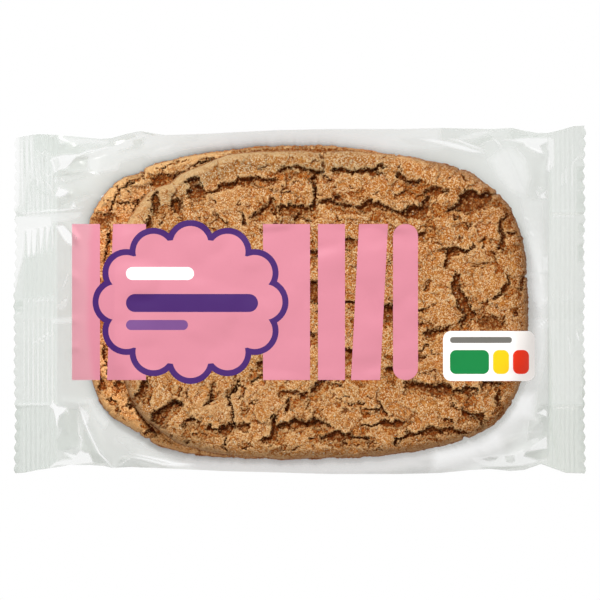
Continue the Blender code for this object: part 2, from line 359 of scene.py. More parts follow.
UPPER_HOLLOWS = (
    # Upper left
    (2.2, (156, 190, 159, 195, 161, 203, 159, 209, 157, 214, 153, 216, 151, 211, 153, 206, 151, 200,
        153, 195)),
    (2.0, (149, 212, 152, 218, 152, 228, 146, 228, 146, 222, 148, 218)),
    (1.8, (171, 198, 178, 199, 183, 201, 180, 206, 181, 212, 177, 214, 174, 210, 171, 209, 170, 204)),
    (2.4, (196, 176, 200, 178, 199, 184, 203, 188, 207, 190, 207, 195, 203, 197, 198, 198, 192, 200,
        187, 197, 184, 194, 187, 191, 191, 189, 188, 184, 184, 183, 186, 179, 191, 178)),
    # Under the plates along the top
    (2.0, (200, 190, 207, 192, 214, 190, 219, 185, 224, 183, 230, 183, 236, 180, 237, 177, 243, 177,
        246, 178, 252, 175, 258, 177, 266, 179, 275, 178, 282, 177, 276, 180, 274, 183, 262, 183,
        255, 182, 248, 184, 243, 187, 238, 184, 233, 190, 228, 189, 222, 188, 218, 193, 210, 194,
        204, 194, 200, 198)),
    (1.8, (276, 170, 280, 168, 286, 166, 292, 167, 297, 164, 302, 167, 306, 171, 303, 173, 298, 169,
        290, 169, 283, 172, 278, 171)),
    (2.6, (306, 170, 314, 170, 320, 171, 326, 169, 322, 174, 317, 176, 316, 180, 316, 186, 317, 196,
        317, 206, 312, 213, 309, 213, 309, 206, 313, 202, 313, 190, 312, 183, 310, 181, 311, 177,
        313, 175)),
    (2.0, (319, 146, 329, 146, 326, 153, 324, 158, 321, 158, 318, 156, 320, 153)),
    (1.6, (322, 160, 325, 163, 326, 168, 323, 168, 321, 164)),
    (2.2, (329, 170, 335, 168, 342, 167, 348, 170, 353, 171, 358, 168, 364, 168, 369, 167, 373, 169,
        378, 165, 384, 165, 388, 168, 380, 169, 378, 173, 374, 177, 370, 176, 368, 172, 364, 174,
        356, 174, 350, 174, 342, 173, 334, 173)),
    (2.4, (395, 174, 400, 172, 403, 176, 408, 180, 414, 181, 420, 180, 421, 184, 416, 186, 411, 185,
        406, 182, 401, 180, 396, 178)),
    (1.4, (420, 190, 428, 189, 434, 187, 439, 186, 444, 190, 452, 191, 448, 193, 443, 193, 438, 197,
        432, 196, 428, 200, 424, 192)),
    (2.6, (428, 195, 431, 199, 429, 206, 430, 212, 424, 218, 418, 220, 410, 219, 403, 218, 396, 214,
        390, 211, 384, 208, 380, 206, 384, 205, 392, 208, 400, 211, 408, 211, 410, 205, 416, 205,
        421, 206, 422, 202)),
    (2.8, (459, 199, 460, 193, 466, 192, 470, 190, 475, 190, 478, 193, 480, 195, 486, 191, 491, 191,
        495, 194, 493, 198, 490, 202, 486, 205, 480, 208, 474, 210, 470, 213, 462, 212, 455, 210,
        448, 212, 444, 213, 446, 209, 452, 206, 457, 203)),
    # Across the middle of the top
    (2.4, (240, 210, 243, 213, 246, 218, 247, 226, 242, 226, 242, 219)),
    (2.0, (270, 196, 275, 199, 273, 202, 275, 207, 278, 214, 276, 220, 274, 215, 271, 209, 266, 211,
        260, 215, 254, 218, 247, 219, 253, 215, 258, 211, 260, 208, 266, 206, 269, 202)),
    (2.3, (277, 206, 283, 204, 292, 204, 300, 205, 306, 207, 310, 207, 310, 213, 303, 215, 300, 217,
        297, 222, 293, 223, 294, 217, 298, 213, 290, 213, 284, 212, 279, 211)),
    (2.2, (316, 200, 325, 200, 333, 199, 335, 196, 341, 195, 341, 198, 337, 202, 340, 204, 346, 203,
        352, 205, 353, 209, 346, 208, 340, 206, 331, 205, 322, 204)),
    (2.4, (352, 206, 359, 205, 364, 203, 366, 199, 373, 199, 372, 203, 378, 201, 383, 204, 386, 208,
        393, 209, 396, 212, 388, 211, 380, 209, 374, 209, 370, 212, 364, 213, 356, 210)),
    # Right
    (2.2, (444, 248, 448, 248, 455, 247, 462, 248, 468, 249, 472, 246, 475, 243, 476, 248, 470, 252,
        463, 254, 456, 256, 452, 256, 449, 262, 447, 268, 443, 268, 445, 260, 447, 253)),
    (2.4, (455, 272, 459, 274, 459, 280, 460, 288, 464, 293, 468, 300, 471, 307, 477, 314, 476, 317,
        470, 320, 466, 323, 463, 328, 459, 328, 460, 322, 464, 316, 461, 311, 457, 306, 456, 300,
        451, 293, 451, 286, 450, 283, 453, 278)),
    (2.2, (507, 275, 510, 278, 510, 284, 511, 289, 506, 293, 502, 296, 498, 299, 492, 301, 494, 297,
        498, 294, 501, 290, 503, 285, 507, 283)),
    (1.5, (523, 276, 529, 278, 524, 284, 521, 292, 519, 290, 521, 282)),
    (2.0, (509, 213, 510, 216, 505, 221, 503, 227, 504, 233, 506, 239, 506, 246, 503, 251, 498, 250,
        499, 245, 502, 241, 501, 235, 499, 229, 500, 221, 504, 216)),
    (1.0, (478, 318, 486, 316, 494, 316, 500, 320, 503, 328, 494, 329, 486, 328, 480, 324)),
    (2.2, (450, 325, 452, 327, 449, 330, 445, 332, 440, 333, 436, 336, 430, 338, 426, 337, 423, 334,
        428, 330, 434, 330, 440, 328)),
    (1.8, (417, 235, 421, 233, 426, 230, 429, 232, 425, 236, 420, 239)),
    (1.6, (417, 321, 422, 321, 425, 324, 422, 327, 417, 325)),
    (1.4, (416, 357, 424, 355, 430, 357, 422, 360, 417, 361)),
    # Between the bars of the print, and under it
    (2.2, (372, 303, 379, 302, 384, 304, 391, 305, 396, 309, 398, 315, 398, 321, 392, 320, 386, 321,
        380, 321, 378, 315, 375, 309)),
    (2.0, (304, 281, 310, 282, 318, 282, 319, 302, 312, 301, 306, 294)),
    (2.0, (287, 331, 298, 330, 308, 332, 315, 333, 315, 338, 288, 338)),
    (1.8, (341, 238, 350, 237, 355, 240, 353, 243, 348, 243, 341, 242)),
    (2.2, (342, 348, 350, 347, 354, 350, 355, 357, 350, 361, 342, 360)),
    (1.8, (386, 366, 393, 367, 394, 374, 390, 376, 385, 371)),
    (1.5, (308, 250, 318, 251, 319, 257, 311, 258)),
    (1.8, (255, 362, 262, 360, 264, 366, 257, 368)),
    # Bottom right
    (2.2, (404, 381, 412, 382, 420, 382, 428, 384, 436, 386, 443, 382, 448, 384, 452, 389, 458, 388,
        462, 389, 462, 394, 456, 393, 450, 396, 444, 395, 438, 398, 432, 396, 426, 391, 418, 390,
        411, 389, 405, 390)),
    (2.4, (462, 388, 468, 386, 476, 389, 480, 391, 476, 392, 471, 391, 471, 397, 468, 399, 466, 394,
        462, 395)),
    (2.2, (481, 380, 488, 382, 495, 383, 504, 383, 502, 386, 494, 386, 486, 384, 484, 392, 481, 390)),
    (1.8, (498, 389, 501, 391, 500, 398, 502, 403, 500, 408, 497, 405, 495, 398)),
    (2.0, (461, 408, 466, 411, 472, 413, 478, 414, 483, 412, 485, 416, 484, 422, 481, 427, 479, 422,
        474, 417, 468, 419, 463, 418, 461, 413)),
    (2.2, (393, 445, 395, 437, 402, 436, 408, 432, 416, 433, 423, 430, 429, 427, 436, 427, 441, 430,
        446, 427, 453, 428, 458, 431, 466, 431, 468, 434, 460, 436, 455, 434, 448, 433, 440, 434,
        432, 436, 424, 436, 418, 435, 410, 437, 405, 440, 400, 440, 397, 446)),
    (2.2, (356, 427, 362, 424, 369, 424, 374, 424, 381, 421, 386, 419, 390, 421, 397, 420, 403, 421,
        405, 424, 401, 428, 394, 428, 386, 427, 378, 426, 370, 428, 362, 427)),
    # Bottom middle
    (2.4, (327, 379, 326, 385, 320, 388, 318, 392, 314, 394, 310, 393, 311, 389, 316, 384, 320, 380)),
    (1.8, (299, 392, 304, 393, 309, 392, 308, 397, 303, 400, 300, 402)),
    (1.4, (279, 391, 284, 389, 290, 391, 297, 391, 299, 394, 294, 395, 288, 394, 283, 396, 279, 398)),
    (2.2, (289, 397, 291, 402, 289, 410, 286, 414, 283, 415, 285, 408, 287, 402)),
    (2.6, (273, 412, 276, 418, 277, 424, 284, 422, 290, 421, 294, 418, 300, 420, 308, 420, 313, 419,
        320, 420, 325, 422, 330, 425, 331, 428, 324, 425, 318, 428, 310, 428, 300, 429, 290, 429,
        282, 429, 277, 432, 279, 437, 276, 441, 270, 443, 263, 444, 260, 439, 264, 437, 270, 435,
        272, 428, 271, 422)),
    (2.4, (317, 434, 324, 437, 330, 434, 334, 431, 340, 430, 343, 434, 350, 432, 352, 436, 360, 436,
        368, 437, 373, 439, 366, 440, 356, 439, 348, 440, 341, 441, 334, 440, 326, 441, 320, 438)),
    # Bottom left
    (3.0, (150, 414, 155, 411, 160, 409, 165, 405, 170, 402, 175, 400, 180, 402, 184, 404, 182, 408,
        178, 408, 172, 410, 167, 414, 165, 420, 162, 426, 157, 424, 152, 420)),
    (2.2, (184, 423, 184, 420, 190, 417, 195, 419, 200, 420, 202, 424, 196, 422, 190, 423, 186, 426,
        182, 430)),
    (2.4, (206, 425, 210, 424, 213, 428, 218, 430, 222, 427, 226, 424, 232, 422, 234, 424, 232, 430,
        228, 435, 222, 436, 218, 432, 211, 432, 207, 430)),
    (1.5, (236, 423, 242, 424, 250, 422, 251, 428, 246, 433, 240, 431, 237, 428)),
    (2.4, (141, 379, 147, 379, 148, 386, 146, 392, 144, 397, 137, 398, 134, 396, 138, 392, 140, 387)),
    (2.0, (213, 380, 215, 386, 213, 392, 214, 398, 211, 402, 205, 406, 201, 408, 204, 403, 209, 400,
        211, 395, 211, 387)),
)
LOWER_HOLLOWS = (
    (0.8, (152, 183, 151, 178, 156, 174, 162, 173, 168, 174, 174, 174, 180, 172, 182, 173, 176, 177,
        172, 180, 168, 184, 162, 186, 156, 188, 151, 187)),
    (0.9, (130, 180, 136, 178, 141, 178, 137, 181, 132, 183)),
    # Bare crumb on the edge that shows above the upper cookie
    (0.7, (232, 151, 250, 149, 272, 148, 300, 147, 342, 148, 366, 151, 390, 156, 412, 160, 430, 165,
        428, 168, 410, 164, 388, 160, 364, 155, 340, 153, 300, 152, 272, 153, 250, 154, 236, 156)),
    (0.8, (98, 213, 104, 214, 110, 213, 116, 217, 112, 221, 104, 224, 95, 223, 90, 218)),
    (2.0, (129, 396, 131, 403, 135, 406, 132, 409, 129, 409, 128, 402)),
    (1.8, (99, 376, 105, 379, 106, 388, 103, 392, 98, 390)),
    (1.6, (112, 384, 118, 380, 124, 382, 120, 388, 114, 388)),
)

# Cracks, each with half width, depth and height of its lip, in millimetres, and its route.
# The steep side and the lip are to the left of the way that the route runs: routes that run to
# the right have them above, as the upper plates overhang there.

UPPER_CRACKS = (
    # Along the top
    (0.35, 1.2, 0.2, (257, 170, 263, 169, 266, 167, 271, 166)),
    (0.30, 1.0, 0.2, (291, 156, 292, 160)),
    (0.35, 1.1, 0.2, (308, 163, 314, 161, 321, 161)),
    (0.35, 1.4, 0.1, (400, 159, 399, 164, 402, 170, 400, 175)),
    (0.30, 1.0, 0.1, (383, 159, 387, 158)),
    (0.30, 1.0, 0.1, (382, 163, 385, 165)),
    (0.45, 1.2, 0.2, (460, 175, 464, 177, 466, 180)),
    (0.30, 1.0, 0.1, (447, 178, 453, 176)),
    # Upper left
    (0.35, 1.1, 0.1, (212, 200, 216, 202, 219, 206)),
    (0.45, 1.3, 0.2, (236, 207, 239, 204, 241, 202)),
    (0.45, 1.4, 0.2, (214, 214, 218, 215, 221, 220, 229, 223)),
    (0.30, 0.9, 0.1, (225, 211, 231, 210)),
    (0.30, 1.0, 0.2, (166, 214, 164, 221, 160, 226)),
    # Middle of the top
    (0.35, 1.1, 0.1, (272, 185, 273, 192)),
    (0.35, 1.1, 0.2, (291, 185, 294, 182, 299, 182, 304, 184)),
    (0.40, 1.2, 0.2, (281, 194, 284, 192, 289, 193, 293, 194)),
    (0.35, 1.1, 0.1, (294, 193, 297, 196, 301, 197, 305, 199)),
    (0.30, 1.0, 0.1, (281, 188, 285, 187)),
    (0.30, 1.0, 0.1, (317, 194, 324, 194)),
    (0.35, 1.1, 0.1, (348, 183, 349, 187, 355, 188, 361, 187)),
    (0.30, 1.0, 0.1, (332, 183, 337, 186)),
    (0.30, 1.1, 0.2, (373, 195, 379, 191)),
    (0.40, 1.2, 0.2, (393, 193, 397, 195, 402, 192, 409, 191)),
    (0.35, 1.1, 0.1, (338, 214, 338, 219, 341, 221)),
    (0.55, 1.5, 0.2, (322, 176, 330, 180, 334, 174)),
    # Right
    (0.45, 1.3, 0.2, (451, 215, 456, 216, 453, 221)),
    (0.45, 1.3, 0.2, (474, 221, 468, 225, 468, 231)),
    (0.40, 1.2, 0.2, (457, 241, 460, 237, 464, 236)),
    (0.35, 1.1, 0.1, (479, 243, 485, 235)),
    (0.30, 1.0, 0.1, (431, 261, 436, 256)),
    (0.50, 1.4, 0.2, (506, 232, 512, 234, 519, 232)),
    (0.45, 1.4, 0.2, (490, 249, 494, 255, 498, 263, 499, 268)),
    (0.30, 1.0, 0.1, (470, 267, 478, 266, 487, 264)),
    (0.35, 1.3, 0.1, (422, 293, 425, 288, 428, 284, 427, 280)),
    (0.35, 1.2, 0.2, (412, 309, 417, 311, 424, 310, 430, 306, 436, 304, 441, 303)),
    (0.35, 1.1, 0.1, (497, 302, 497, 307, 500, 310)),
    (0.45, 1.3, 0.1, (518, 308, 516, 317)),
    (0.35, 1.1, 0.1, (488, 298, 487, 305)),
    (0.40, 1.3, 0.1, (506, 315, 503, 321, 506, 328)),
    (0.35, 1.1, 0.1, (419, 351, 424, 347, 429, 346)),
    (0.35, 1.1, 0.1, (429, 351, 434, 353, 442, 353)),
    (0.30, 1.0, 0.1, (420, 374, 432, 370, 440, 373)),
    # Bottom right
    (0.45, 1.4, 0.2, (450, 401, 453, 405, 460, 409)),
    (0.45, 1.3, 0.2, (443, 420, 448, 419, 454, 421)),
    (0.35, 1.1, 0.1, (438, 414, 440, 416)),
    (0.40, 1.3, 0.1, (470, 391, 469, 398, 468, 405)),
    (0.30, 1.0, 0.1, (374, 450, 380, 448, 385, 448)),
    (0.30, 1.0, 0.1, (339, 442, 346, 444)),
    # Bottom middle
    (0.60, 1.8, 0.2, (250, 384, 256, 380, 262, 375)),
    (0.35, 1.2, 0.2, (335, 397, 341, 398, 346, 396, 351, 399)),
    (0.40, 1.3, 0.2, (345, 403, 352, 405, 358, 403, 365, 402)),
    (0.40, 1.3, 0.2, (364, 407, 368, 409, 375, 408, 381, 408)),
    (0.55, 1.8, 0.2, (377, 391, 378, 398, 381, 406, 384, 411, 386, 419)),
    (0.35, 1.1, 0.1, (365, 399, 372, 398)),
    (0.35, 1.2, 0.1, (304, 409, 310, 406)),
    (0.40, 1.2, 0.2, (329, 382, 336, 383, 343, 387)),
    (0.40, 1.2, 0.1, (286, 444, 286, 453)),
    (0.30, 1.0, 0.1, (291, 449, 298, 447)),
    (0.30, 1.0, 0.1, (249, 401, 258, 399)),
    (0.35, 1.1, 0.1, (309, 438, 316, 438)),
    # Bottom left
    (0.65, 3.0, 0.1, (240, 376, 241, 381, 236, 388, 230, 395, 229, 400, 232, 408, 234, 415, 234, 423,
        230, 431, 226, 436)),
    (0.45, 1.8, 0.1, (226, 436, 225, 442, 225, 449, 229, 453)),
    (0.35, 1.3, 0.1, (241, 385, 246, 390, 242, 397, 236, 402)),
    (0.35, 1.2, 0.1, (181, 387, 180, 397)),
    (0.35, 1.2, 0.1, (188, 389, 186, 397)),
    (0.40, 1.3, 0.1, (150, 397, 151, 405)),
    (0.35, 1.1, 0.1, (192, 435, 198, 432)),
    (0.35, 1.1, 0.1, (200, 432, 207, 437)),
    (0.35, 1.1, 0.1, (172, 433, 173, 439)),
    (0.50, 1.4, 0.1, (188, 440, 187, 444)),
    (0.40, 1.3, 0.1, (252, 445, 247, 448, 241, 450)),
    # Under the print
    (0.8, 2.0, 0.3, (160, 262, 178, 256, 200, 259, 222, 250, 246, 252)),
    (0.7, 2.0, 0.2, (246, 252, 252, 276, 244, 300, 250, 322)),
    (0.8, 2.0, 0.3, (150, 330, 172, 336, 196, 330, 222, 338, 250, 322)),
    (0.7, 2.0, 0.2, (222, 338, 226, 356, 238, 380)),
    (0.8, 2.0, 0.3, (312, 300, 330, 304, 352, 300, 372, 303)),
    (0.7, 2.0, 0.2, (330, 304, 334, 328, 346, 338)),
)

LOWER_CRACKS = (
    (0.45, 1.6, 0.2, (110, 216, 111, 206, 116, 196, 121, 190, 128, 184, 136, 180, 144, 177)),
    (0.40, 1.4, 0.2, (117, 184, 119, 190, 121, 194)),
    (0.35, 1.2, 0.2, (104, 202, 109, 200, 113, 201)),
    (0.45, 1.4, 0.2, (118, 203, 125, 202, 131, 204, 138, 201)),
    (0.35, 1.3, 0.2, (131, 205, 132, 210, 130, 214)),
    (0.35, 1.1, 0.1, (122, 206, 123, 211)),
    (0.25, 0.9, 0.1, (128, 190, 130, 195)),
    (0.25, 0.9, 0.1, (136, 192, 138, 196)),
    (0.6, 1.8, 0.3, (104, 265, 107, 246, 109, 226)),
    (0.6, 1.8, 0.3, (112, 384, 105, 362, 103, 342)),
    (0.5, 1.4, 0.3, (104, 402, 110, 399, 118, 402)),
    (0.4, 1.2, 0.2, (116, 408, 118, 413)),
    (0.4, 1.2, 0.2, (124, 416, 126, 421)),
    (0.40, 1.4, 0.2, (153, 171, 161, 167, 170, 164, 181, 161, 193, 157)),
    (0.35, 1.2, 0.2, (196, 159, 206, 157, 216, 156)),
    (0.6, 1.8, 0.2, (96, 300, 104, 296, 112, 302)),
    (0.45, 1.4, 0.2, (143, 169, 142, 174, 145, 180)),
    (0.8, 2.0, 0.3, (142, 434, 150, 430, 156, 436)),
    # In the shade along the upper cookie's edge
    (0.70, 2.2, 0.1, (172, 182, 180, 175, 189, 170)),
    (0.70, 2.2, 0.1, (188, 169, 197, 165, 206, 161, 216, 158)),
    (0.40, 1.6, 0.1, (130, 215, 139, 202, 150, 190)),
    (0.60, 2.0, 0.1, (130, 398, 138, 411, 146, 424, 158, 437)),
)

# What each cookie is made from: its drawn shapes, the height of its underside, the seed of its
# noise, and how much painted light lightens its rim and its low places, from 0 to 1
Cookie = namedtuple("Cookie", "outline notches cracks hollows whole_crust floor seed pallor")
UPPER_COOKIE = Cookie(
    UPPER_OUTLINE, UPPER_NOTCHES, UPPER_CRACKS, UPPER_HOLLOWS, WHOLE_CRUST, UPPER_FLOOR, 11, 0.0
)
LOWER_COOKIE = Cookie(
    LOWER_OUTLINE, LOWER_NOTCHES, LOWER_CRACKS, LOWER_HOLLOWS, LOWER_WHOLE_CRUST, LOWER_FLOOR,
    47, 1.0,
)

# Small cracks and pits strewn over each cookie: how many, the shortest and the longest
STREWN = ((60, 0.0025, 0.0085), (240, 0.0004, 0.0014))
STREWN_SIZE = (0.33, 0.9, 0.12)  # half width, depth and lip of the usual one, in millimetres

# The baked crust on the crumb: its thickness, and how much of it is left (more is more)
CRUST_THICKNESS = 0.00065
CRUST_COVER = 0.62

# Plates of the top: their size, how much higher or lower they stand and how much they lean
PLATES = ((0.0150, 0.00028, 0.00080), (0.0062, 0.00014, 0.00030))

# How ragged the outline is: reach, size of the bumps and seed
RAGGED_RIM = ((0.00035, 0.022, 2), (0.00045, 0.09, 3), (0.00030, 0.011, 4))

# Mesh of a cookie
RADIUS_STEPS = 1440  # directions in which an outline's radius is worked out
RADIUS_BLUR = 17  # of them, over which it is smoothed
TOP_CELL = 0.00030
SIDE_ROWS = 16
UNDER_RINGS = 6
COOKIE_FACES = 197000
HIDDEN_SHARE = 0.06  # of the faces that nothing shows, under the print or the other cookie


def oval_of(cookie):
    """The outline's middle and half sizes, and its radius as a function of the direction."""
    height = cookie.floor + COOKIE_THICKNESS * RIM_SHARE
    px, py = np.reshape(cookie.outline, (-1, 2)).T
    x, y = at_pixel(px, py, height)
    centre = np.array([(x.max() + x.min()) / 2, (y.max() + y.min()) / 2])
    half = ((x.max() - x.min()) / 2, (y.max() - y.min()) / 2)
    turn = np.arctan2(y - centre[1], x - centre[0])
    reach = np.hypot(x - centre[0], y - centre[1])
    order = np.argsort(turn)
    turn, reach = turn[order], reach[order]
    turns = np.concatenate([turn - 2 * math.pi, turn, turn + 2 * math.pi])
    fine = np.linspace(-math.pi, math.pi, RADIUS_STEPS + 1)[:-1]
    reach = np.interp(fine, turns, np.tile(reach, 3))
    kernel = np.hanning(RADIUS_BLUR)
    spare = RADIUS_BLUR - 1
    around = np.concatenate([reach[-spare:], reach, reach[:spare]])
    reach = np.convolve(around, kernel / kernel.sum(), "same")[spare:-spare]
    for px, py, half_width, depth in cookie.notches:
        x, y = at_pixel(px, py, height)
        there = math.atan2(y - centre[1], x - centre[0])
        aside = (fine - there + math.pi) % (2 * math.pi) - math.pi
        aside = np.abs(aside) * reach / (half_width / MM)
        reach = reach - depth / MM * np.clip(1 - aside, 0, 1)

    def radius(direction):
        place = (direction + math.pi) / (2 * math.pi) * RADIUS_STEPS
        return np.interp(place, np.arange(RADIUS_STEPS + 1), np.append(reach, reach[0]))

    return centre, half, radius


def inside_cookie(x, y, cookie, margin):
    """1 inside a cookie's outline, drawn in by a margin, and 0 outside it."""
    centre, _, radius = oval_of(cookie)
    limit = radius(np.arctan2(y - centre[1], x - centre[0])) - margin
    return smooth(0.0002, -0.0002, np.hypot(x - centre[0], y - centre[1]) - limit)


def hollow_relief(x, y, hollows, seed):
    """What the hollows take off the height, in metres; then, from 0 to 1, how far inside one
    each point is, how near to one it is outside, and how deep it lies in the painted shadow
    of a wall."""
    cut, inner, around, under = (np.zeros_like(x) for _ in range(4))
    bent_x, bent_y = bent(x, y, 0.0007, 0.0030, (seed + 1, seed + 9), 4, 1.0)
    patchy = smooth(-0.75, 0.15, layered_noise(x, y, 0.0034, seed + 13, 3, 0.8))
    for depth, outline in hollows:
        chosen = near_route(x, y, outline, 0.0045)
        wx, wy = bent_x[chosen], bent_y[chosen]
        inside = np.zeros(wx.shape, bool)
        nearest, wall, slope = (np.full(wx.shape, FAR) for _ in range(3))
        southward = np.zeros(wx.shape)
        for crossed, dx, dy in outline_sides(wx, wy, outline):
            inside ^= crossed
            distance = np.hypot(dx, dy)
            turned = (0.4 * dx - 0.9 * dy) / (distance + 1e-9)
            wall = np.minimum(wall, distance + 0.008 * smooth(-0.1, 0.5, turned))
            slope = np.minimum(slope, distance + 0.008 * smooth(0.5, -0.1, turned))
            closer = distance < nearest
            nearest = np.where(closer, distance, nearest)
            southward = np.where(closer, turned, southward)
        tilt = slope / (slope + wall + 1e-6)
        profile = (0.36 + 0.64 * tilt**1.2) * smooth(0.0, 0.00045, nearest)
        keep_highest(cut, chosen, inside * depth / MM * profile)
        keep_highest(inner, chosen, inside * smooth(0.0, 0.0004, nearest))
        beyond = np.exp(-((nearest / (0.0006 + 0.0024 * (southward < 0))) ** 2))
        keep_highest(around, chosen, np.where(inside, 1.0, beyond))
        # Painted shadow: darkest close to the top and left walls of deep hollows
        shaded = smooth(0.6, 2.2, depth) * smooth(0.18, 0.85, tilt)
        keep_highest(under, chosen, inside * shaded)
    under *= 0.4 + 0.6 * patchy
    return cut, inner, around, under


def crack_relief(x, y, cracks, seed):
    """What the cracks take off the height and what their lips add, in metres; then, from 0 to
    1, how deep in a crack each point is and how near to one on its gentle side."""
    cut, lip, deep, near = (np.zeros_like(x) for _ in range(4))
    bent_x, bent_y = bent(x, y, 0.0009, 0.0048, (seed + 1, seed + 9), 5, 0.82)
    rubble = layered_noise(x, y, 0.0021, seed + 17, 4, 0.65)
    spread = np.exp(0.40 * layered_noise(x, y, 0.0050, seed + 25, 2))
    grains = cells(x, y, 0.0014, seed + 31)[0] - 0.45
    for half_width, depth, lip_height, route in cracks:
        half_width, depth, lip_height = half_width / MM, depth / MM, lip_height / MM
        chosen = near_route(x, y, route, 4 * half_width + 0.004)
        distance, side, place = along_route(bent_x[chosen], bent_y[chosen], route)
        steep_side = side > 0
        distance = np.abs(distance + 0.0006 * grains[chosen])
        taper = np.clip(5 * np.minimum(place, 1 - place), 0, 1) ** 0.6
        width = half_width * (0.35 + 0.65 * taper) * spread[chosen]
        away = distance / width
        steep = smooth(0.20, 0.75, away)
        gentle = 0.66 * smooth(0.20, 0.90, away) + 0.34 * smooth(0.20, 3.2, away)
        wall = np.where(steep_side, steep, gentle)
        keep_highest(cut, chosen, depth * taper * (1 - wall) * (1 + 0.35 * rubble[chosen]))
        inside = taper * (1 - np.where(steep_side, steep, smooth(0.3, 1.25, away)))
        keep_highest(deep, chosen, inside)
        rise = np.exp(-((distance - width) / (1.6 * width + 0.0008)) ** 2) * steep_side
        keep_highest(lip, chosen, lip_height * taper * rise * steep)
        reach = np.where(steep_side, 0.6 * width, 2.8 * width + 0.0008)
        keep_highest(near, chosen, taper * np.exp(-((distance / reach) ** 2)))
    return cut, lip, deep, near


def strewn_cracks(centre, half, seed):
    """Short cracks and pits at random places, most of them running along the rim."""
    draw = np.random.default_rng(seed)
    cracks = []
    for count, low, high in STREWN:
        for _ in range(count):
            reach = math.sqrt(draw.uniform(0.02, 1.0)) * 0.97
            turn = draw.uniform(0, 2 * math.pi)
            x = centre[0] + half[0] * reach * math.cos(turn)
            y = centre[1] + half[1] * reach * math.sin(turn)
            lean = math.atan2(half[1] * math.cos(turn), -half[0] * math.sin(turn))
            lean += draw.normal(0, 0.75)
            if math.cos(lean) < 0:
                lean += math.pi
            length = draw.uniform(low, high)
            route = [(x, y)]
            for _ in range(3):
                lean += draw.normal(0, 0.45)
                x += length / 3 * math.cos(lean)
                y += length / 3 * math.sin(lean)
                route.append((x, y))
            size = draw.uniform(0.6, 1.4)
            cracks.append((*(usual * size for usual in STREWN_SIZE), route))
    return cracks


def plate_relief(x, y, seed):
    """Plates that stand a little higher or lower than their neighbours and lean a little."""
    draw = np.random.default_rng(seed + 33)
    relief = np.zeros_like(x)
    for size, step, lean in PLATES:
        _, number, du, dv = cells(x, y, size, seed + int(size * 1e5))
        level, lean_u, lean_v = (
            draw.normal(0, spread, CELL_SEEDS**2)[number] for spread in (step, lean, lean)
        )
        relief += level + lean_u * du + lean_v * dv
    return relief


def drawn_crust(x, y, routes, height):
    """1 along the routes where the crust is whole."""
    cover = np.zeros_like(x)
    for half_width, route in routes:
        away = along_route(x, y, laid_route(route, height))[0] / (half_width / MM)
        cover = np.maximum(cover, smooth(1.15, 0.75, away))
    return cover


def crumb_relief(x, y, seed):
    """The height of loose crumbs of two sizes, and 1 in the gaps between them."""
    x, y = bent(x, y, 0.0005, 0.0022, (seed + 97, seed + 98), 3)
    coarse = cells(x, y, 0.0021, seed + 90)[0]
    small = cells(x, y, 0.0011, seed + 92)[0]
    gap = np.maximum(smooth(0.24, 0.52, coarse), 0.8 * smooth(0.34, 0.60, small))
    return 0.00055 * (0.45 - coarse) + 0.00045 * (0.45 - small), gap


def rim_rounding(direction, inset):
    """How far in from the edge a point of the rim is, from 0 to 1, and how much of its height
    the rounded rim has there. The rim is blunter on one side and longer on the right."""
    blunt = 0.5 * smooth(0.55, 0.9, np.cos(direction - BLUNT_RIM))
    blunt -= 0.45 * smooth(0.60, 0.95, np.cos(direction))
    rim = np.clip(inset / (RIM_ROUNDING * (1 - blunt)), 0, 1)
    return rim, np.sqrt(np.clip(1 - (1 - rim) ** 2, 0, 1))


def rim_shade_mask(direction, inset, pallor):
    """A cookie's painted rim shading this far in from its edge: 0 is the rim darkened by painted
    shade, a half is plain and 1 is the rim along the top of the print, cooled and darkened by
    painted shade where it faces the light."""
    cool_shade = smooth(0.50, 0.90, np.cos(direction - COOL_SHADE_SIDE))
    rim_shadow = np.clip(1 - inset / RIM_ROUNDING, 0, 1) * (1 - 0.85 * cool_shade) * (1 - 0.25 * pallor)
    rim_shadow *= 1 - 0.4 * smooth(0.6, 0.95, np.cos(direction - PAINTED_LIGHT_CORNER))
    return 0.5 - 0.5 * rim_shadow + 0.5 * cool_shade * smooth(0.0125, 0.0080, inset)


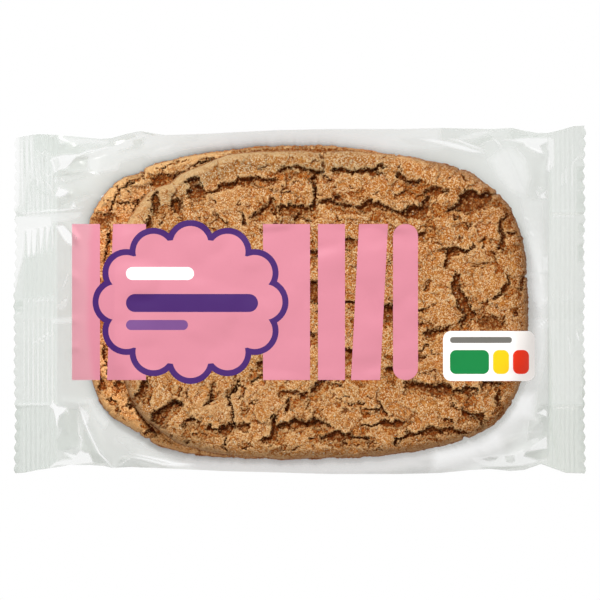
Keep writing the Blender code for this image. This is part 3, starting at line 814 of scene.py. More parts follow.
def cookie_form(x, y, cookie, oval):
    """Heights over the cookie's floor on a grid, with the masks that its colours need."""
    centre, half, radius = oval
    seed = cookie.seed
    top = cookie.floor + COOKIE_THICKNESS
    direction = np.arctan2(y - centre[1], x - centre[0])
    outward = np.hypot(x - centre[0], y - centre[1])
    inset = np.clip(radius(direction) - outward, 0, None)
    rim, rounding = rim_rounding(direction, inset)
    height = COOKIE_THICKNESS * (RIM_SHARE + (1 - RIM_SHARE) * rounding)
    height += 0.0007 * noise(x, y, 0.045, seed) * rounding
    bent_x, bent_y = bent(x, y, 0.0020, 0.007, (seed + 21, seed + 27), 5, 0.62)
    height += plate_relief(bent_x, bent_y, seed) * rounding

    # Cracks and hollows, fainter where the crust is drawn as whole
    smooth_crust = drawn_crust(bent_x, bent_y, cookie.whole_crust, top)
    bare = 1 - 0.85 * smooth_crust
    cracks = [(*sizes, laid_route(route, top)) for *sizes, route in cookie.cracks]
    hollows = [(depth, laid_route(route, top)) for depth, route in cookie.hollows]
    strewn = strewn_cracks(centre, half, seed + 60)
    cut, lip, deep, near = crack_relief(x, y, cracks, seed + 50)
    small_cut, small_lip, small_deep, small_near = crack_relief(x, y, strewn, seed + 70)
    hollow_cut, inner, around, under = hollow_relief(x, y, hollows, seed + 75)
    height += lip + small_lip * bare
    cut = np.maximum(np.maximum(1.2 * cut, small_cut * bare), 1.35 * hollow_cut)
    height -= cut * (0.35 + 0.65 * rounding)
    deep = np.maximum(deep, 0.8 * small_deep * bare)
    near = np.maximum(np.maximum(near, 0.45 * small_near * bare), 0.8 * around)

    # The baked crust, broken away in patches and beside the cracks, where crumb shows
    wild = layered_noise(bent_x, bent_y, 0.0085, seed + 80, 6, 0.64)
    crust = smooth(-0.04, 0.06, wild + CRUST_COVER + 1.5 * smooth_crust - 1.15 * near)
    crust *= 1 - inner
    height += CRUST_THICKNESS * crust * (0.35 + 0.65 * rounding)

    # Crumbs where the crust is gone, and a fine grain over everything
    crumbs, gap = crumb_relief(x, y, seed)
    height += crumbs * (1 - 0.88 * crust) * (1 + 1.1 * inner) * (0.4 + 0.6 * rounding)
    grain = layered_noise(x, y, 0.0026, seed + 95, 4, 0.9)
    height += 0.00017 * grain * (1 - 0.80 * crust) * (0.5 + 0.5 * rounding)

    # The masks: painted shade in low places and painted highlights on raised ones, painted shadow
    # below the hollows' top and left walls, and painted light that makes the whole crust on the left
    # side paler, the bottom left a little paler and the top right edge darker
    hollow = (softened(height, 3) - height) / 0.00030 + (softened(height, 9) - height) / 0.0009
    bared = (1 - crust) * (0.6 + 0.4 * inner * (0.2 + 0.8 * gap))
    deep = np.maximum(deep, under * (0.25 + 0.75 * gap))
    # Painted light: paler on the left and the bottom left, and painted shade along the top right edge
    painted_paleness = 0.19 * smooth(0.35, 0.90, np.cos(direction - PAINTED_LIGHT_SIDE)) * smooth_crust
    painted_paleness += 0.08 * smooth(0.20, 0.90, np.cos(direction - PAINTED_LIGHT_CORNER)) * rim
    at_edge = smooth(0.02, 0.008, inset)
    painted_paleness -= 0.07 * smooth(0.50, 0.95, np.cos(direction - PAINTED_SHADE_CORNER)) * at_edge
    hollow = 0.5 + 0.25 * hollow - painted_paleness - 0.04 * cookie.pallor
    rim_shading = rim_shade_mask(direction, inset, cookie.pallor)
    return height, (np.clip(deep, 0, 1), bared, rim_shading, np.clip(hollow, 0, 1))


def side_rings(edge_points, oval, floor, seed):
    """Rings of points from the top's edge down the side, drawn in at the foot, and on across
    the underside."""
    centre, _, radius = oval
    away = edge_points[:, :2] - centre
    turn = np.arctan2(away[:, 1], away[:, 0])
    length = radius(turn) + 1e-6
    for row in range(1, SIDE_ROWS + 1):
        fall = row / SIDE_ROWS
        level = floor + (edge_points[:, 2] - floor) * (1 - fall)
        inward = 0.0011 * smooth(0.55, 1.0, fall) ** 2 - 0.0005 * math.sin(math.pi * fall)
        wave = noise(turn * 0.085, level * 2.2, 0.0030, seed + 120)
        wave = wave + 0.6 * noise(turn * 0.085, level * 2.5, 0.0011, seed + 121)
        inward = inward - 0.00022 * wave * math.sin(math.pi * min(fall * 1.1, 1))
        scale = 1 - inward / length
        yield np.column_stack([centre + away * scale[:, None], level])
    for row in range(1, UNDER_RINGS + 1):
        share = 1 - row / (UNDER_RINGS + 0.5)
        ring = centre + away * scale[:, None] * share
        yield np.column_stack([ring, np.full(len(ring), floor)])


def thin_out(piece, quads, unseen):
    """Gives a piece its number of faces, most of them taken where nothing shows."""
    group = piece.vertex_groups.new(name="unseen")
    group.add(np.flatnonzero(unseen).tolist(), 1.0, "REPLACE")
    total = 2 * quads
    kept = total * (1 - (1 - HIDDEN_SHARE) * unseen.mean())
    fewer_unseen, fewer_seen = (
        piece.modifiers.new(label, "DECIMATE") for label in ("fewer_unseen", "fewer_seen")
    )
    fewer_unseen.ratio = min(1.0, kept / total)
    fewer_unseen.vertex_group = group.name
    fewer_unseen.vertex_group_factor = 0.0
    fewer_seen.ratio = min(1.0, COOKIE_FACES / kept)
    graph = bpy.context.evaluated_depsgraph_get()
    thinned = bpy.data.meshes.new_from_object(piece.evaluated_get(graph))
    piece.modifiers.clear()
    piece.data = thinned
    piece.vertex_groups.clear()


def cookie_piece(name, cookie, finish, hidden):
    """One cookie: its cracked top, its side and its flat underside as one closed mesh. The
    function hidden says which points of its top nothing shows."""
    oval = oval_of(cookie)
    centre, half, radius = oval
    u, v = np.meshgrid(
        *(np.linspace(-1, 1, int(2 * reach / TOP_CELL)) for reach in half), indexing="ij"
    )
    share = np.maximum(np.abs(u), np.abs(v))
    direction = np.arctan2(v * half[1], u * half[0])
    along, across = np.cos(direction), np.sin(direction)
    reach = share * radius(direction)
    reach += share**6 * sum(
        wide * noise(along, across, size, cookie.seed + seed) for wide, size, seed in RAGGED_RIM
    )
    x, y = centre[0] + reach * along, centre[1] + reach * across
    height, masks = cookie_form(x, y, cookie, oval)
    points = [np.stack([x.ravel(), y.ravel(), (cookie.floor + height).ravel()], 1)]
    masks = [np.stack([mask.ravel() for mask in masks], 1)]

    top_quads, number = grid_quads(u.shape)
    quads = [top_quads]
    last = np.concatenate(
        [number[:-1, 0], number[-1, :-1], number[:0:-1, -1], number[0, :0:-1]]
    )
    edge_points = points[0][last]
    turn = np.arctan2(edge_points[:, 1] - centre[1], edge_points[:, 0] - centre[0])
    plain, rim_shading = np.ones(len(last)), rim_shade_mask(turn, 0, cookie.pallor)
    side_masks = np.column_stack([0 * plain, 0.3 * plain, rim_shading, 0.5 * plain])
    following = x.size + np.arange(len(last))
    for ring in side_rings(edge_points, oval, cookie.floor, cookie.seed):
        points.append(ring)
        masks.append(side_masks)
        corners = (last, following, np.roll(following, -1), np.roll(last, -1))
        quads.append(np.stack(corners, -1))
        last, following = following, following + len(last)
    points, masks, quads = (np.concatenate(part) for part in (points, masks, quads))
    piece = woven_piece(name, points, quads, "baked", masks, last[::-1])
    unseen = np.zeros(len(points), bool)
    unseen[: x.size] = hidden(x.ravel(), y.ravel())
    unseen[-(UNDER_RINGS - 1) * len(last):] = True
    thin_out(piece, len(quads), unseen)
    piece.data.materials.append(finish)
    return piece


# The film. Its outline, in pixels: the top edge and the bottom edge, from left to right.

TOP_EDGE = (
    10, 138, 38, 134, 56, 135, 80, 137, 100, 139, 112, 138, 126, 134, 140, 131,
    152, 133, 165, 135, 200, 134, 240, 132, 280, 130, 330, 129, 400, 129,
    440, 128, 490, 129, 512, 128, 526, 131, 538, 133, 548, 133, 560, 130,
    574, 126, 590, 125,
)
BOTTOM_EDGE = (
    10, 474, 24, 473, 38, 470, 58, 467, 70, 465, 90, 465, 104, 466, 112, 468,
    130, 467, 180, 469, 220, 471, 260, 472, 330, 474, 400, 474, 440, 473,
    470, 470, 490, 469, 510, 471, 524, 470, 541, 464, 552, 468, 566, 473,
    590, 474,
)
SEAL_ENDS = ((13.5, 57), (549, 586))  # of each seal, in pixels: the left end and the right one
CORNERS = (118, 482)  # the pixels between which the film's columns are far apart
CRIMP_PITCH = 0.00222
CRIMP_HEIGHT = 0.00016
RIGHT_CRIMPS = 0.4  # how much weaker the right seal's crimps are
PLAIN_BAND = 0.0042
TOOTH_PITCH = 0.0050
TOOTH_DEPTH = 0.0011
SEAL_DROOP = 0.0030
FOLD_PLANE = 0.018  # how high the folds lie, as far as the camera is concerned
EDGE_PLANE = 0.028  # and how high the front film is beside the cookies
FILM_TOP = 0.0318  # no part of the front film is higher
BACK_FLOOR = 0.00018  # and none of the back film is lower
FILM_GAP = 0.00016  # half of the gap between the two films in a seal
FRONT_BULGE = 45.0
BACK_SAG = 2.0
RELAX_STEPS = 2400

# The film's mesh: columns in a plain end and in each crimp, the columns' distance elsewhere,
# and where the rows lie, from the film's bottom edge to its top edge
BAND_COLUMNS, CRIMP_COLUMNS = 8, 8
FINE_STEP, COARSE_STEP = 0.00056, 0.0012
SHARES = np.concatenate(
    [np.linspace(0, 0.31, 86)[:-1], np.linspace(0.31, 0.69, 58)[:-1], np.linspace(0.69, 1, 86)]
)
FILM_REACH = 3  # how many cells the film bridges around a peak
EDGE_STEPS = 720  # directions in which a cookie's edge is measured

# How cloudy the film is: plain film, film on a cookie, the cookies' painted shade and the back seam
FRONT_CLOUD, BACK_CLOUD, CLEAR_CLOUD = 0.34, 0.46, 0.002
STRETCHED_CLEAR = 0.85  # how much of its cloudiness the film loses on the cookies' sides
SHADE_CLOUD, SEAM_CLOUD = 0.92, 0.12
SEAM_TOP, SEAM_BOTTOM = (300, 302), (320, 318)  # rows between which the back seam begins
FILM_COLOUR = (0.49, 0.538, 0.53, 1.0)
# The colour of the cookies' painted shade on the back film
FILM_SHADE = (0.11, 0.12, 0.13, 1.0)

# How the film catches the light, painted: highlights on the crimps' ribs, and the grey lower
# parts of the seals with the rows between which they begin
RIB_TONE, DIM_TONE = 0.36, 0.36
DIM_ROWS = (402, 409)
RIGHT_DIM, RIGHT_DIM_ROWS = 0.35, (300, 400)
PILE_MIDDLE = (308, 305)  # the pixel over the middle of the two cookies
GLEAM_TONE = 0.34
GLEAM_SIDE = math.radians(115)  # painted gleam on the film around them, but not in this direction
SHADE_SIDE = math.radians(150)  # in this one their painted shade is darkest
SHADE_REACH = 0.0021

# Folds of the front film: two ends, in pixels, then height and the half widths on both sides
# of the ridge, in millimetres. The first half width is to the left of the way it runs.
FOLDS = (
    # Top left corner
    (56, 163, 112, 147, 2.2, 5.0, 2.6),
    (62, 150, 84, 168, 0.5, 2.5, 3.5),
    (56, 213, 112, 193, 1.9, 2.2, 5.0),
    (57, 186, 74, 196, 1.5, 2.4, 2.0),
    (104, 143, 150, 132, 1.5, 2.2, 2.6),
    (58, 216, 84, 246, 1.5, 2.2, 3.2),
    (60, 170, 96, 174, 0.8, 1.8, 2.2),
    (130, 140, 196, 150, 0.9, 3.0, 4.0),
    # Left side
    (58, 262, 84, 285, 0.7, 3.0, 4.0),
    (58, 318, 88, 322, 0.6, 2.6, 3.0),
    (57, 352, 84, 344, 0.7, 3.0, 3.0),
    # Bottom left corner
    (57, 402, 94, 404, 1.6, 2.4, 3.0),
    (62, 402, 66, 436, 1.2, 1.8, 2.6),
    (84, 400, 113, 470, 1.9, 2.2, 3.4),
    (64, 446, 108, 456, 0.8, 3.0, 3.2),
    (90, 428, 92, 460, 1.0, 1.6, 2.2),
    (112, 462, 176, 456, 1.0, 2.2, 3.4),
    (128, 452, 226, 468, 1.3, 2.0, 3.0),
    (236, 464, 330, 470, 0.8, 2.2, 3.2),
    # Top right corner
    (384, 137, 462, 153, 1.5, 2.2, 3.0),
    (426, 139, 486, 160, 1.4, 1.6, 2.4),
    (452, 134, 500, 137, 0.9, 2.0, 2.2),
    (486, 138, 524, 196, 1.3, 2.2, 4.0),
    (516, 140, 549, 143, 1.5, 2.4, 2.4),
    (524, 144, 549, 160, 1.5, 1.8, 2.6),
    (549, 148, 544, 196, 1.2, 1.8, 2.4),
    (538, 196, 549, 186, 1.0, 1.6, 1.8),
    (512, 168, 520, 230, 0.8, 3.0, 3.0),
    # Right side
    (534, 262, 546, 300, 0.7, 2.6, 2.6),
    (546, 330, 538, 366, 0.7, 2.6, 2.6),
    # Bottom right corner
    (549, 398, 532, 414, 1.4, 2.6, 2.6),
    (549, 410, 530, 432, 1.2, 2.2, 2.6),
    (530, 432, 472, 462, 1.7, 3.4, 4.0),
    (548, 440, 496, 466, 1.5, 3.0, 3.0),
    (412, 466, 486, 458, 1.0, 2.6, 3.4),
    (549, 430, 556, 462, 1.3, 2.4, 2.2),
    # Along the top
    (196, 138, 300, 133, 0.7, 2.2, 3.0),
    (300, 139, 392, 135, 0.6, 2.2, 3.0),
)

# Streaks pulled out of the left seal, in pixels: x, top, bottom, and height in millimetres
DRAWN_STREAKS = (
    (30, 222, 262, 0.5), (37, 218, 256, 0.5), (44, 222, 262, 0.5), (51, 220, 250, 0.5),
    (34, 150, 186, 0.4), (42, 140, 172, 0.4), (50, 168, 204, 0.5), (46, 176, 208, 0.4),
)

# Where the tucks and the back seam end in the seals, in pixels, and the step that they make
SEAL_STEPS = ((212, 0.30), (301, 0.18), (319, 0.18), (405, 0.30))

# Painted highlights and painted grey where creases of the film catch the light or turn away from
# it. Facets: how light (1 is white, -1 is grey), how soft the border is and an outline, in pixels.
TONE_FACETS = (
    # Broad lighter parts along the top and at the bottom right
    (0.42, 5.0, (130, 130, 440, 122, 440, 148, 400, 151, 330, 147, 250, 145, 190, 150, 150, 160)),
    (0.42, 7.0, (518, 394, 534, 394, 538, 430, 546, 462, 470, 472, 432, 472, 434, 450, 480, 442,
        505, 422)),
    # Left seal and the corner at its top
    (0.30, 2.0, (10, 135, 34, 135, 32, 170, 22, 210, 12, 212)),
    (0.80, 1.2, (11, 138, 19, 137, 20, 170, 19, 205, 14, 212, 12, 190)),
    (-0.45, 2.0, (33, 134, 50, 134, 49, 150, 44, 156, 35, 152)),
    (-0.60, 1.2, (43, 137, 57, 137, 59, 144, 67, 143, 77, 145, 86, 151, 73, 155, 52, 155, 46, 147)),
    (0.40, 1.0, (58, 137, 88, 139, 110, 141, 106, 145, 90, 143, 78, 144, 66, 142, 60, 144)),
    (0.45, 3.0, (82, 154, 99, 150, 118, 143, 119, 170, 102, 172, 96, 173, 89, 170, 87, 155)),
    (-0.35, 1.0, (77, 157, 88, 157, 86, 169, 70, 172, 54, 175, 59, 170, 67, 168)),
    (0.75, 0.8, (50, 160, 54, 157, 62, 155, 77, 155, 67, 168, 65, 169, 59, 170, 54, 173, 52, 163)),
    (0.35, 0.8, (53, 160, 58, 158, 60, 166, 56, 171)),
    (-0.25, 1.5, (56, 199, 67, 195, 77, 187, 90, 190, 96, 199, 79, 204, 74, 201, 71, 207, 58, 210)),
    (0.85, 0.7, (59, 184, 60, 188, 69, 191, 65, 195, 60, 197, 55, 196, 56, 193, 58, 189)),
    (0.75, 0.7, (73, 200, 76, 207, 70, 208, 73, 204)),
    (0.60, 0.7, (54, 178, 57, 180, 55, 183)),
    (0.55, 0.7, (95, 174, 100, 175, 96, 170)),
    (0.40, 1.5, (26, 214, 84, 212, 78, 218, 60, 222, 26, 222)),
    (0.68, 1.2, (15, 216, 50, 217, 52, 226, 25, 231, 24, 250, 22, 262, 18, 276, 15, 292, 13, 292)),
    (0.80, 0.9, (26, 228, 32, 228, 31, 245, 29, 273, 27, 250)),
    (0.80, 0.9, (32, 228, 37, 229, 36, 245, 34, 266, 32, 245)),
    (0.80, 0.9, (39, 226, 44, 228, 42, 244, 40, 255)),
    (0.75, 0.9, (46, 226, 50, 227, 48, 240, 46, 249)),
    (0.85, 0.9, (56, 226, 63, 225, 67, 229, 71, 234, 73, 238, 74, 246, 68, 244, 64, 240, 59, 232)),
    (-0.30, 2.5, (24, 258, 56, 250, 57, 296, 22, 300)),
    (-0.70, 0.8, (14, 301, 23, 301, 23, 313, 15, 313)),
    (0.35, 1.0, (56, 306, 60, 302, 68, 297, 67, 307, 60, 310)),
    (0.40, 1.2, (50, 318, 72, 317, 72, 323, 52, 324)),
    # Left seal and the corner at its bottom
    (-0.80, 0.8, (11, 406, 21, 406, 20, 440, 19, 474, 11, 474)),
    (-0.55, 1.5, (69, 409, 77, 409, 79, 422, 80, 433, 78, 446, 64, 452, 54, 448, 57, 441, 62, 429,
        57, 428, 59, 416, 65, 413)),
    (0.30, 3.0, (86, 398, 104, 396, 112, 420, 104, 428, 94, 416)),
    (0.80, 0.7, (52, 399, 54, 403, 57, 406, 67, 408, 64, 412, 59, 416, 57, 428, 55, 416, 53, 409, 49, 406,
        52, 404)),
    (0.50, 0.9, (81, 407, 86, 411, 89, 416, 88, 423, 84, 425, 82, 416)),
    (-0.55, 1.0, (84, 428, 91, 441, 98, 453, 108, 463, 95, 463, 89, 453, 82, 450, 82, 439)),
    (0.72, 0.8, (63, 452, 71, 454, 76, 455, 81, 450, 85, 453, 89, 453, 93, 463, 82, 464, 71, 466, 60, 465,
        52, 467, 46, 471, 54, 463, 62, 460, 72, 459)),
    (-0.30, 1.0, (116, 468, 118, 460, 126, 458, 136, 462, 148, 466, 150, 470)),
    # Along the top, left
    (0.35, 3.0, (100, 157, 126, 151, 148, 147, 172, 142, 186, 137, 200, 134, 197, 140, 181, 147, 169, 151,
        152, 153, 131, 159, 110, 166, 100, 170)),
    (0.50, 1.0, (108, 147, 121, 140, 134, 136, 147, 135, 147, 138, 134, 141, 133, 146, 126, 149, 114, 151,
        108, 151)),
    (-0.15, 1.0, (134, 140, 145, 138, 143, 144, 134, 146)),
    (0.50, 1.5, (152, 152, 160, 147, 174, 144, 170, 149)),
    # Along the top, right
    (0.25, 2.5, (400, 139, 425, 138, 450, 141, 470, 147, 440, 148, 410, 144)),
    (0.75, 0.9, (420, 139, 433, 139, 448, 142, 457, 144, 485, 153, 472, 152, 454, 148, 441, 144,
        428, 141)),
    (0.35, 0.9, (461, 137, 477, 132, 491, 130, 483, 135, 472, 139, 462, 140, 456, 139)),
    (-0.50, 0.9, (470, 144, 480, 139, 493, 135, 491, 140, 483, 146, 477, 146)),
    # The corner at the top of the right seal
    (-0.30, 1.2, (508, 134, 514, 129, 520, 132, 529, 134, 527, 138, 512, 139)),
    (0.42, 6.0, (489, 160, 500, 150, 512, 148, 524, 158, 530, 178, 525, 196, 510, 190, 497, 176)),
    (0.20, 6.0, (520, 196, 544, 200, 546, 300, 534, 300, 528, 240)),
    (0.70, 0.8, (502, 140, 516, 139, 525, 138, 547, 138, 549, 141, 543, 144, 540, 146, 543, 153, 538, 153,
        532, 150, 528, 147, 525, 146, 523, 143, 514, 141)),
    (-0.35, 0.8, (532, 135, 543, 135, 541, 137, 533, 137)),
    (0.50, 1.2, (548, 138, 550, 137, 553, 139, 554, 141, 554, 159, 553, 167, 549, 171, 546, 170, 548, 159,
        549, 152, 547, 149)),
    (0.65, 0.7, (540, 195, 547, 190, 544, 195, 547, 198, 540, 198)),
    (-0.50, 0.9, (577, 167, 586, 166, 586, 179, 576, 180)),
    (-0.30, 0.9, (577, 180, 586, 179, 586, 189, 577, 190)),
    (-0.45, 0.9, (577, 192, 586, 192, 586, 214, 576, 215)),
    (-0.40, 0.9, (579, 223, 586, 223, 586, 232, 578, 232)),
    (-0.45, 0.9, (577, 244, 586, 243, 586, 261, 578, 262)),
    (0.30, 1.2, (543, 257, 548, 256, 548, 272, 544, 271)),
    (0.25, 1.2, (536, 302, 547, 298, 547, 304, 538, 308)),
    # The corner at the bottom of the right seal
    (0.18, 6.0, (498, 430, 520, 416, 536, 420, 534, 446, 506, 452)),
    (-0.20, 1.5, (530, 420, 544, 424, 541, 436, 528, 440)),
    (0.60, 0.8, (537, 413, 544, 409, 547, 411, 547, 417, 542, 415)),
    (0.55, 0.8, (531, 447, 539, 441, 546, 436, 547, 438, 547, 449, 539, 449, 530, 450)),
    (0.55, 1.0, (471, 458, 483, 457, 501, 455, 514, 453, 523, 450, 525, 455, 531, 459, 539, 461, 531, 463,
        519, 466, 501, 466, 489, 466, 481, 464, 474, 461)),
    (-0.05, 0.8, (483, 459, 490, 457, 498, 457, 496, 460, 487, 461)),
    (0.05, 0.8, (505, 456, 514, 455, 515, 461, 512, 463, 506, 462)),
    (-0.55, 0.8, (526, 452, 539, 450, 547, 449, 547, 458, 539, 460, 531, 458, 524, 456)),
)
# Lines of painted highlight and grey: how light, half the width and a route, in pixels
TONE_LINES = (
    # Left seal and the corner at its top
    (0.80, 1.1, (22, 136, 22, 170, 23, 206)),
    (0.70, 1.1, (27, 136, 27, 160, 27, 176)),
    (0.70, 1.1, (31, 136, 31, 152, 33, 178)),
    (0.50, 1.0, (35, 158, 37, 182)),
    (0.55, 1.0, (39, 160, 41, 186)),
    (-0.55, 1.0, (24, 138, 25, 176)),
    (-0.50, 1.0, (29, 137, 30, 170)),
    (-0.50, 1.0, (36, 136, 37, 150)),
    (-0.50, 1.0, (41, 136, 44, 150)),
    (0.60, 1.0, (35, 149, 40, 153, 47, 155)),
    (0.60, 1.0, (42, 153, 46, 150)),
    (0.55, 0.9, (30, 168, 32, 176, 30, 184)),
    (0.65, 0.9, (34, 176, 38, 180, 36, 190)),
    (0.65, 0.9, (39, 184, 45, 181, 50, 186, 52, 192)),
    (0.60, 0.9, (43, 172, 48, 176, 52, 174)),
    (-0.60, 0.9, (33, 182, 40, 192, 48, 194)),
    (-0.50, 0.9, (40, 170, 46, 186)),
    (0.55, 0.9, (30, 192, 31, 210)),
    (0.50, 0.9, (36, 192, 37, 210)),
    (0.50, 0.9, (42, 193, 43, 211)),
    (0.50, 0.9, (48, 196, 49, 210)),
    (0.85, 1.1, (63, 155, 79, 155, 87, 151, 99, 150, 111, 146, 118, 139)),
    (-0.85, 1.2, (54, 176, 73, 174, 85, 172)),
    (-0.55, 1.0, (61, 184, 79, 179, 90, 176)),
    (0.70, 1.0, (61, 178, 65, 182)),
    (0.85, 1.0, (17, 214, 38, 212, 52, 210, 64, 210, 84, 207)),
    (-0.60, 1.0, (17, 216, 24, 215)),
    (0.60, 0.9, (52, 227, 53, 236, 53, 246)),
    (0.50, 0.9, (15, 308, 23, 308)),
    (0.50, 0.9, (15, 313, 23, 313)),
    (0.35, 0.9, (24, 301, 56, 301)),
    (0.30, 0.9, (24, 318, 56, 319)),
    (0.55, 0.9, (33, 343, 43, 337, 52, 331)),
    (0.45, 0.9, (37, 344, 46, 339, 54, 333)),
    (0.40, 0.9, (62, 290, 66, 280, 69, 272)),
    # Left seal and the corner at its bottom
    (0.50, 0.9, (14, 405, 34, 404, 52, 405)),
    (-0.35, 0.9, (14, 407, 34, 406, 48, 407)),
    (0.90, 1.2, (79, 404, 82, 414, 88, 430, 93, 441, 99, 453, 114, 469)),
    (-0.40, 1.0, (77, 405, 80, 416, 85, 430, 90, 441)),
    (0.65, 1.0, (78, 416, 79, 435, 82, 439, 81, 450)),
    (0.60, 1.0, (66, 409, 69, 414)),
    (-0.45, 1.0, (48, 452, 50, 434, 54, 420)),
    (0.60, 1.6, (122, 456, 144, 459, 163, 464, 190, 466)),
    (0.70, 1.3, (130, 453, 153, 458, 173, 463, 196, 465)),
    (0.40, 1.0, (118, 466, 132, 457)),
    (-0.40, 1.2, (128, 457, 150, 463, 168, 468)),
    # Along the top
    (-0.60, 1.0, (108, 147, 121, 141, 135, 136)),
    (-0.80, 1.0, (134, 137, 136, 133)),
    (-0.60, 1.0, (142, 132, 155, 135)),
    (0.90, 1.2, (449, 139, 457, 140, 470, 145, 484, 150)),
    (0.45, 0.9, (478, 146, 493, 139)),
    (0.65, 0.9, (494, 139, 501, 145)),
    # The corner at the top of the right seal
    (0.90, 1.2, (528, 147, 535, 149, 544, 153)),
    (0.35, 1.2, (494, 140, 502, 149, 508, 153, 517, 171, 523, 188, 527, 200)),
    (0.35, 1.2, (513, 144, 525, 159, 526, 177, 523, 188)),
    (0.80, 1.1, (549, 158, 549, 172)),
    (0.60, 0.9, (536, 190, 539, 197)),
    (0.50, 0.9, (538, 187, 542, 189)),
    (0.45, 0.9, (525, 217, 529, 220)),
    (0.45, 1.6, (530, 231, 534, 236)),
    (0.50, 1.0, (572, 164, 577, 158, 585, 155)),
    (0.50, 0.9, (566, 165, 566, 185)),
    (0.50, 0.9, (572, 164, 572, 187)),
    (0.40, 0.9, (562, 172, 562, 186)),
    (-0.50, 1.0, (550, 166, 550, 236)),
    (-0.35, 1.0, (549, 236, 549, 320, 549, 404)),
    (0.30, 0.9, (552, 216, 576, 216)),
    (0.75, 1.0, (576, 330, 579, 341)),
    (0.35, 0.9, (568, 333, 571, 358)),
    (-0.35, 1.0, (574, 341, 579, 356)),
    (0.40, 0.9, (582, 350, 585, 360)),
    (0.35, 1.0, (538, 327, 546, 321, 548, 318)),
    # The corner at the bottom of the right seal
    (-1.10, 2.1, (549, 330, 550, 397, 550, 408, 550, 422, 552, 436, 555, 443, 558, 459)),
    (-0.55, 1.3, (544, 424, 548, 431, 552, 438)),
    (-1.40, 1.6, (584, 362, 583, 372, 584, 384, 583, 396, 584, 408, 583, 420, 584, 434, 583, 446,
        584, 458, 585, 466)),
    (0.30, 1.0, (553, 408, 577, 408)),
    (-0.55, 1.2, (481, 468, 505, 468, 528, 466)),
    (0.25, 1.2, (500, 438, 524, 432, 542, 432)),
)


def edge_line(edge, x):
    """Y of an edge of the film at each X."""
    px, py = np.reshape(edge, (-1, 2)).T
    line_x, line_y = at_pixel(px, py)
    return np.interp(x, line_x, line_y)


def film_columns():
    """X of the film's columns, close together in the seals, and the seals' outer ends and
    their inner ends."""
    (left_tip, left_end), (right_end, right_tip) = (map(pixel_x, ends) for ends in SEAL_ENDS)
    band = np.linspace(0, PLAIN_BAND, BAND_COLUMNS + 1)[:-1]
    step = CRIMP_PITCH / CRIMP_COLUMNS
    left_crimps = np.arange(left_tip + PLAIN_BAND, left_end, step)
    right_crimps = np.arange(right_end, right_tip - PLAIN_BAND, step)
    bends = [left_end, *map(pixel_x, CORNERS), right_end]
    body = [
        np.linspace(start, end, int((end - start) / step))[:-1]
        for start, end, step in zip(bends, bends[1:], (FINE_STEP, COARSE_STEP, FINE_STEP))
    ]
    line = [left_tip + band, left_crimps, *body, right_crimps, right_tip - band[::-1]]
    return np.concatenate(line), (left_tip, right_tip), (left_end, right_end)


def peaks_of(cookies, x, y):
    """The highest point of the cookies near each point of the film's grid."""
    top = np.full(x.shape, -1.0)
    for cookie in cookies:
        px, py, pz = points_of(cookie.data)
        column = np.searchsorted((x[1:, 0] + x[:-1, 0]) / 2, px)
        share = (py - y[column, 0]) / (y[column, -1] - y[column, 0])
        row = np.searchsorted((SHARES[1:] + SHARES[:-1]) / 2, share)
        np.maximum.at(top, (column, row), pz)
    for _ in range(FILM_REACH):
        wide = top.copy()
        wide[1:] = np.maximum(wide[1:], top[:-1])
        wide[:-1] = np.maximum(wide[:-1], top[1:])
        top = wide.copy()
        top[:, 1:] = np.maximum(top[:, 1:], wide[:, :-1])
        top[:, :-1] = np.maximum(top[:, :-1], wide[:, 1:])
    return top


def relax(height, x, y, free, load, lowest, highest):
    """Lets a film settle: each free point goes to the mean of its neighbours, plus a load,
    and stays between what lies under it and over it."""
    steps_x, steps_y = np.diff(x, axis=0)[:, 1:-1], np.diff(y, axis=1)[1:-1]
    whole_x, whole_y = steps_x[1:] + steps_x[:-1], steps_y[:, 1:] + steps_y[:, :-1]
    west, east = 2 / (steps_x[:-1] * whole_x), 2 / (steps_x[1:] * whole_x)
    south, north = 2 / (steps_y[:, :-1] * whole_y), 2 / (steps_y[:, 1:] * whole_y)
    total = west + east + south + north
    free, load = free[1:-1, 1:-1], load[1:-1, 1:-1]
    lowest, highest = lowest[1:-1, 1:-1], highest[1:-1, 1:-1]
    inner = height[1:-1, 1:-1]
    for _ in range(RELAX_STEPS):
        along = east * height[2:, 1:-1] + west * height[:-2, 1:-1]
        across = north * height[1:-1, 2:] + south * height[1:-1, :-2]
        inner[free] = np.clip((along + across + load) / total, lowest, highest)[free]
    return height


def fold_relief(x, y):
    """How far the folds lift the front film: sharp ridges that fade towards both ends."""
    lift = np.zeros_like(x)
    for *ends, height, left_reach, right_reach in FOLDS:
        (ax, ay), (bx, by) = laid_route(ends, FOLD_PLANE)
        run = np.array([bx - ax, by - ay])
        length = math.hypot(*run)
        along = ((x - ax) * run[0] + (y - ay) * run[1]) / length**2
        aside = (run[0] * (y - ay) - run[1] * (x - ax)) / length
        aside = aside + 0.0006 * noise(x, y, 0.009, 301)
        reach = np.where(aside > 0, left_reach, right_reach) / MM
        ridge = np.clip(1 - np.abs(aside) / reach, 0, 1)
        fade = smooth(-0.03, 0.22, along) * smooth(1.03, 0.72, along)
        lift = np.maximum(lift, height / MM * ridge * fade)
    return lift


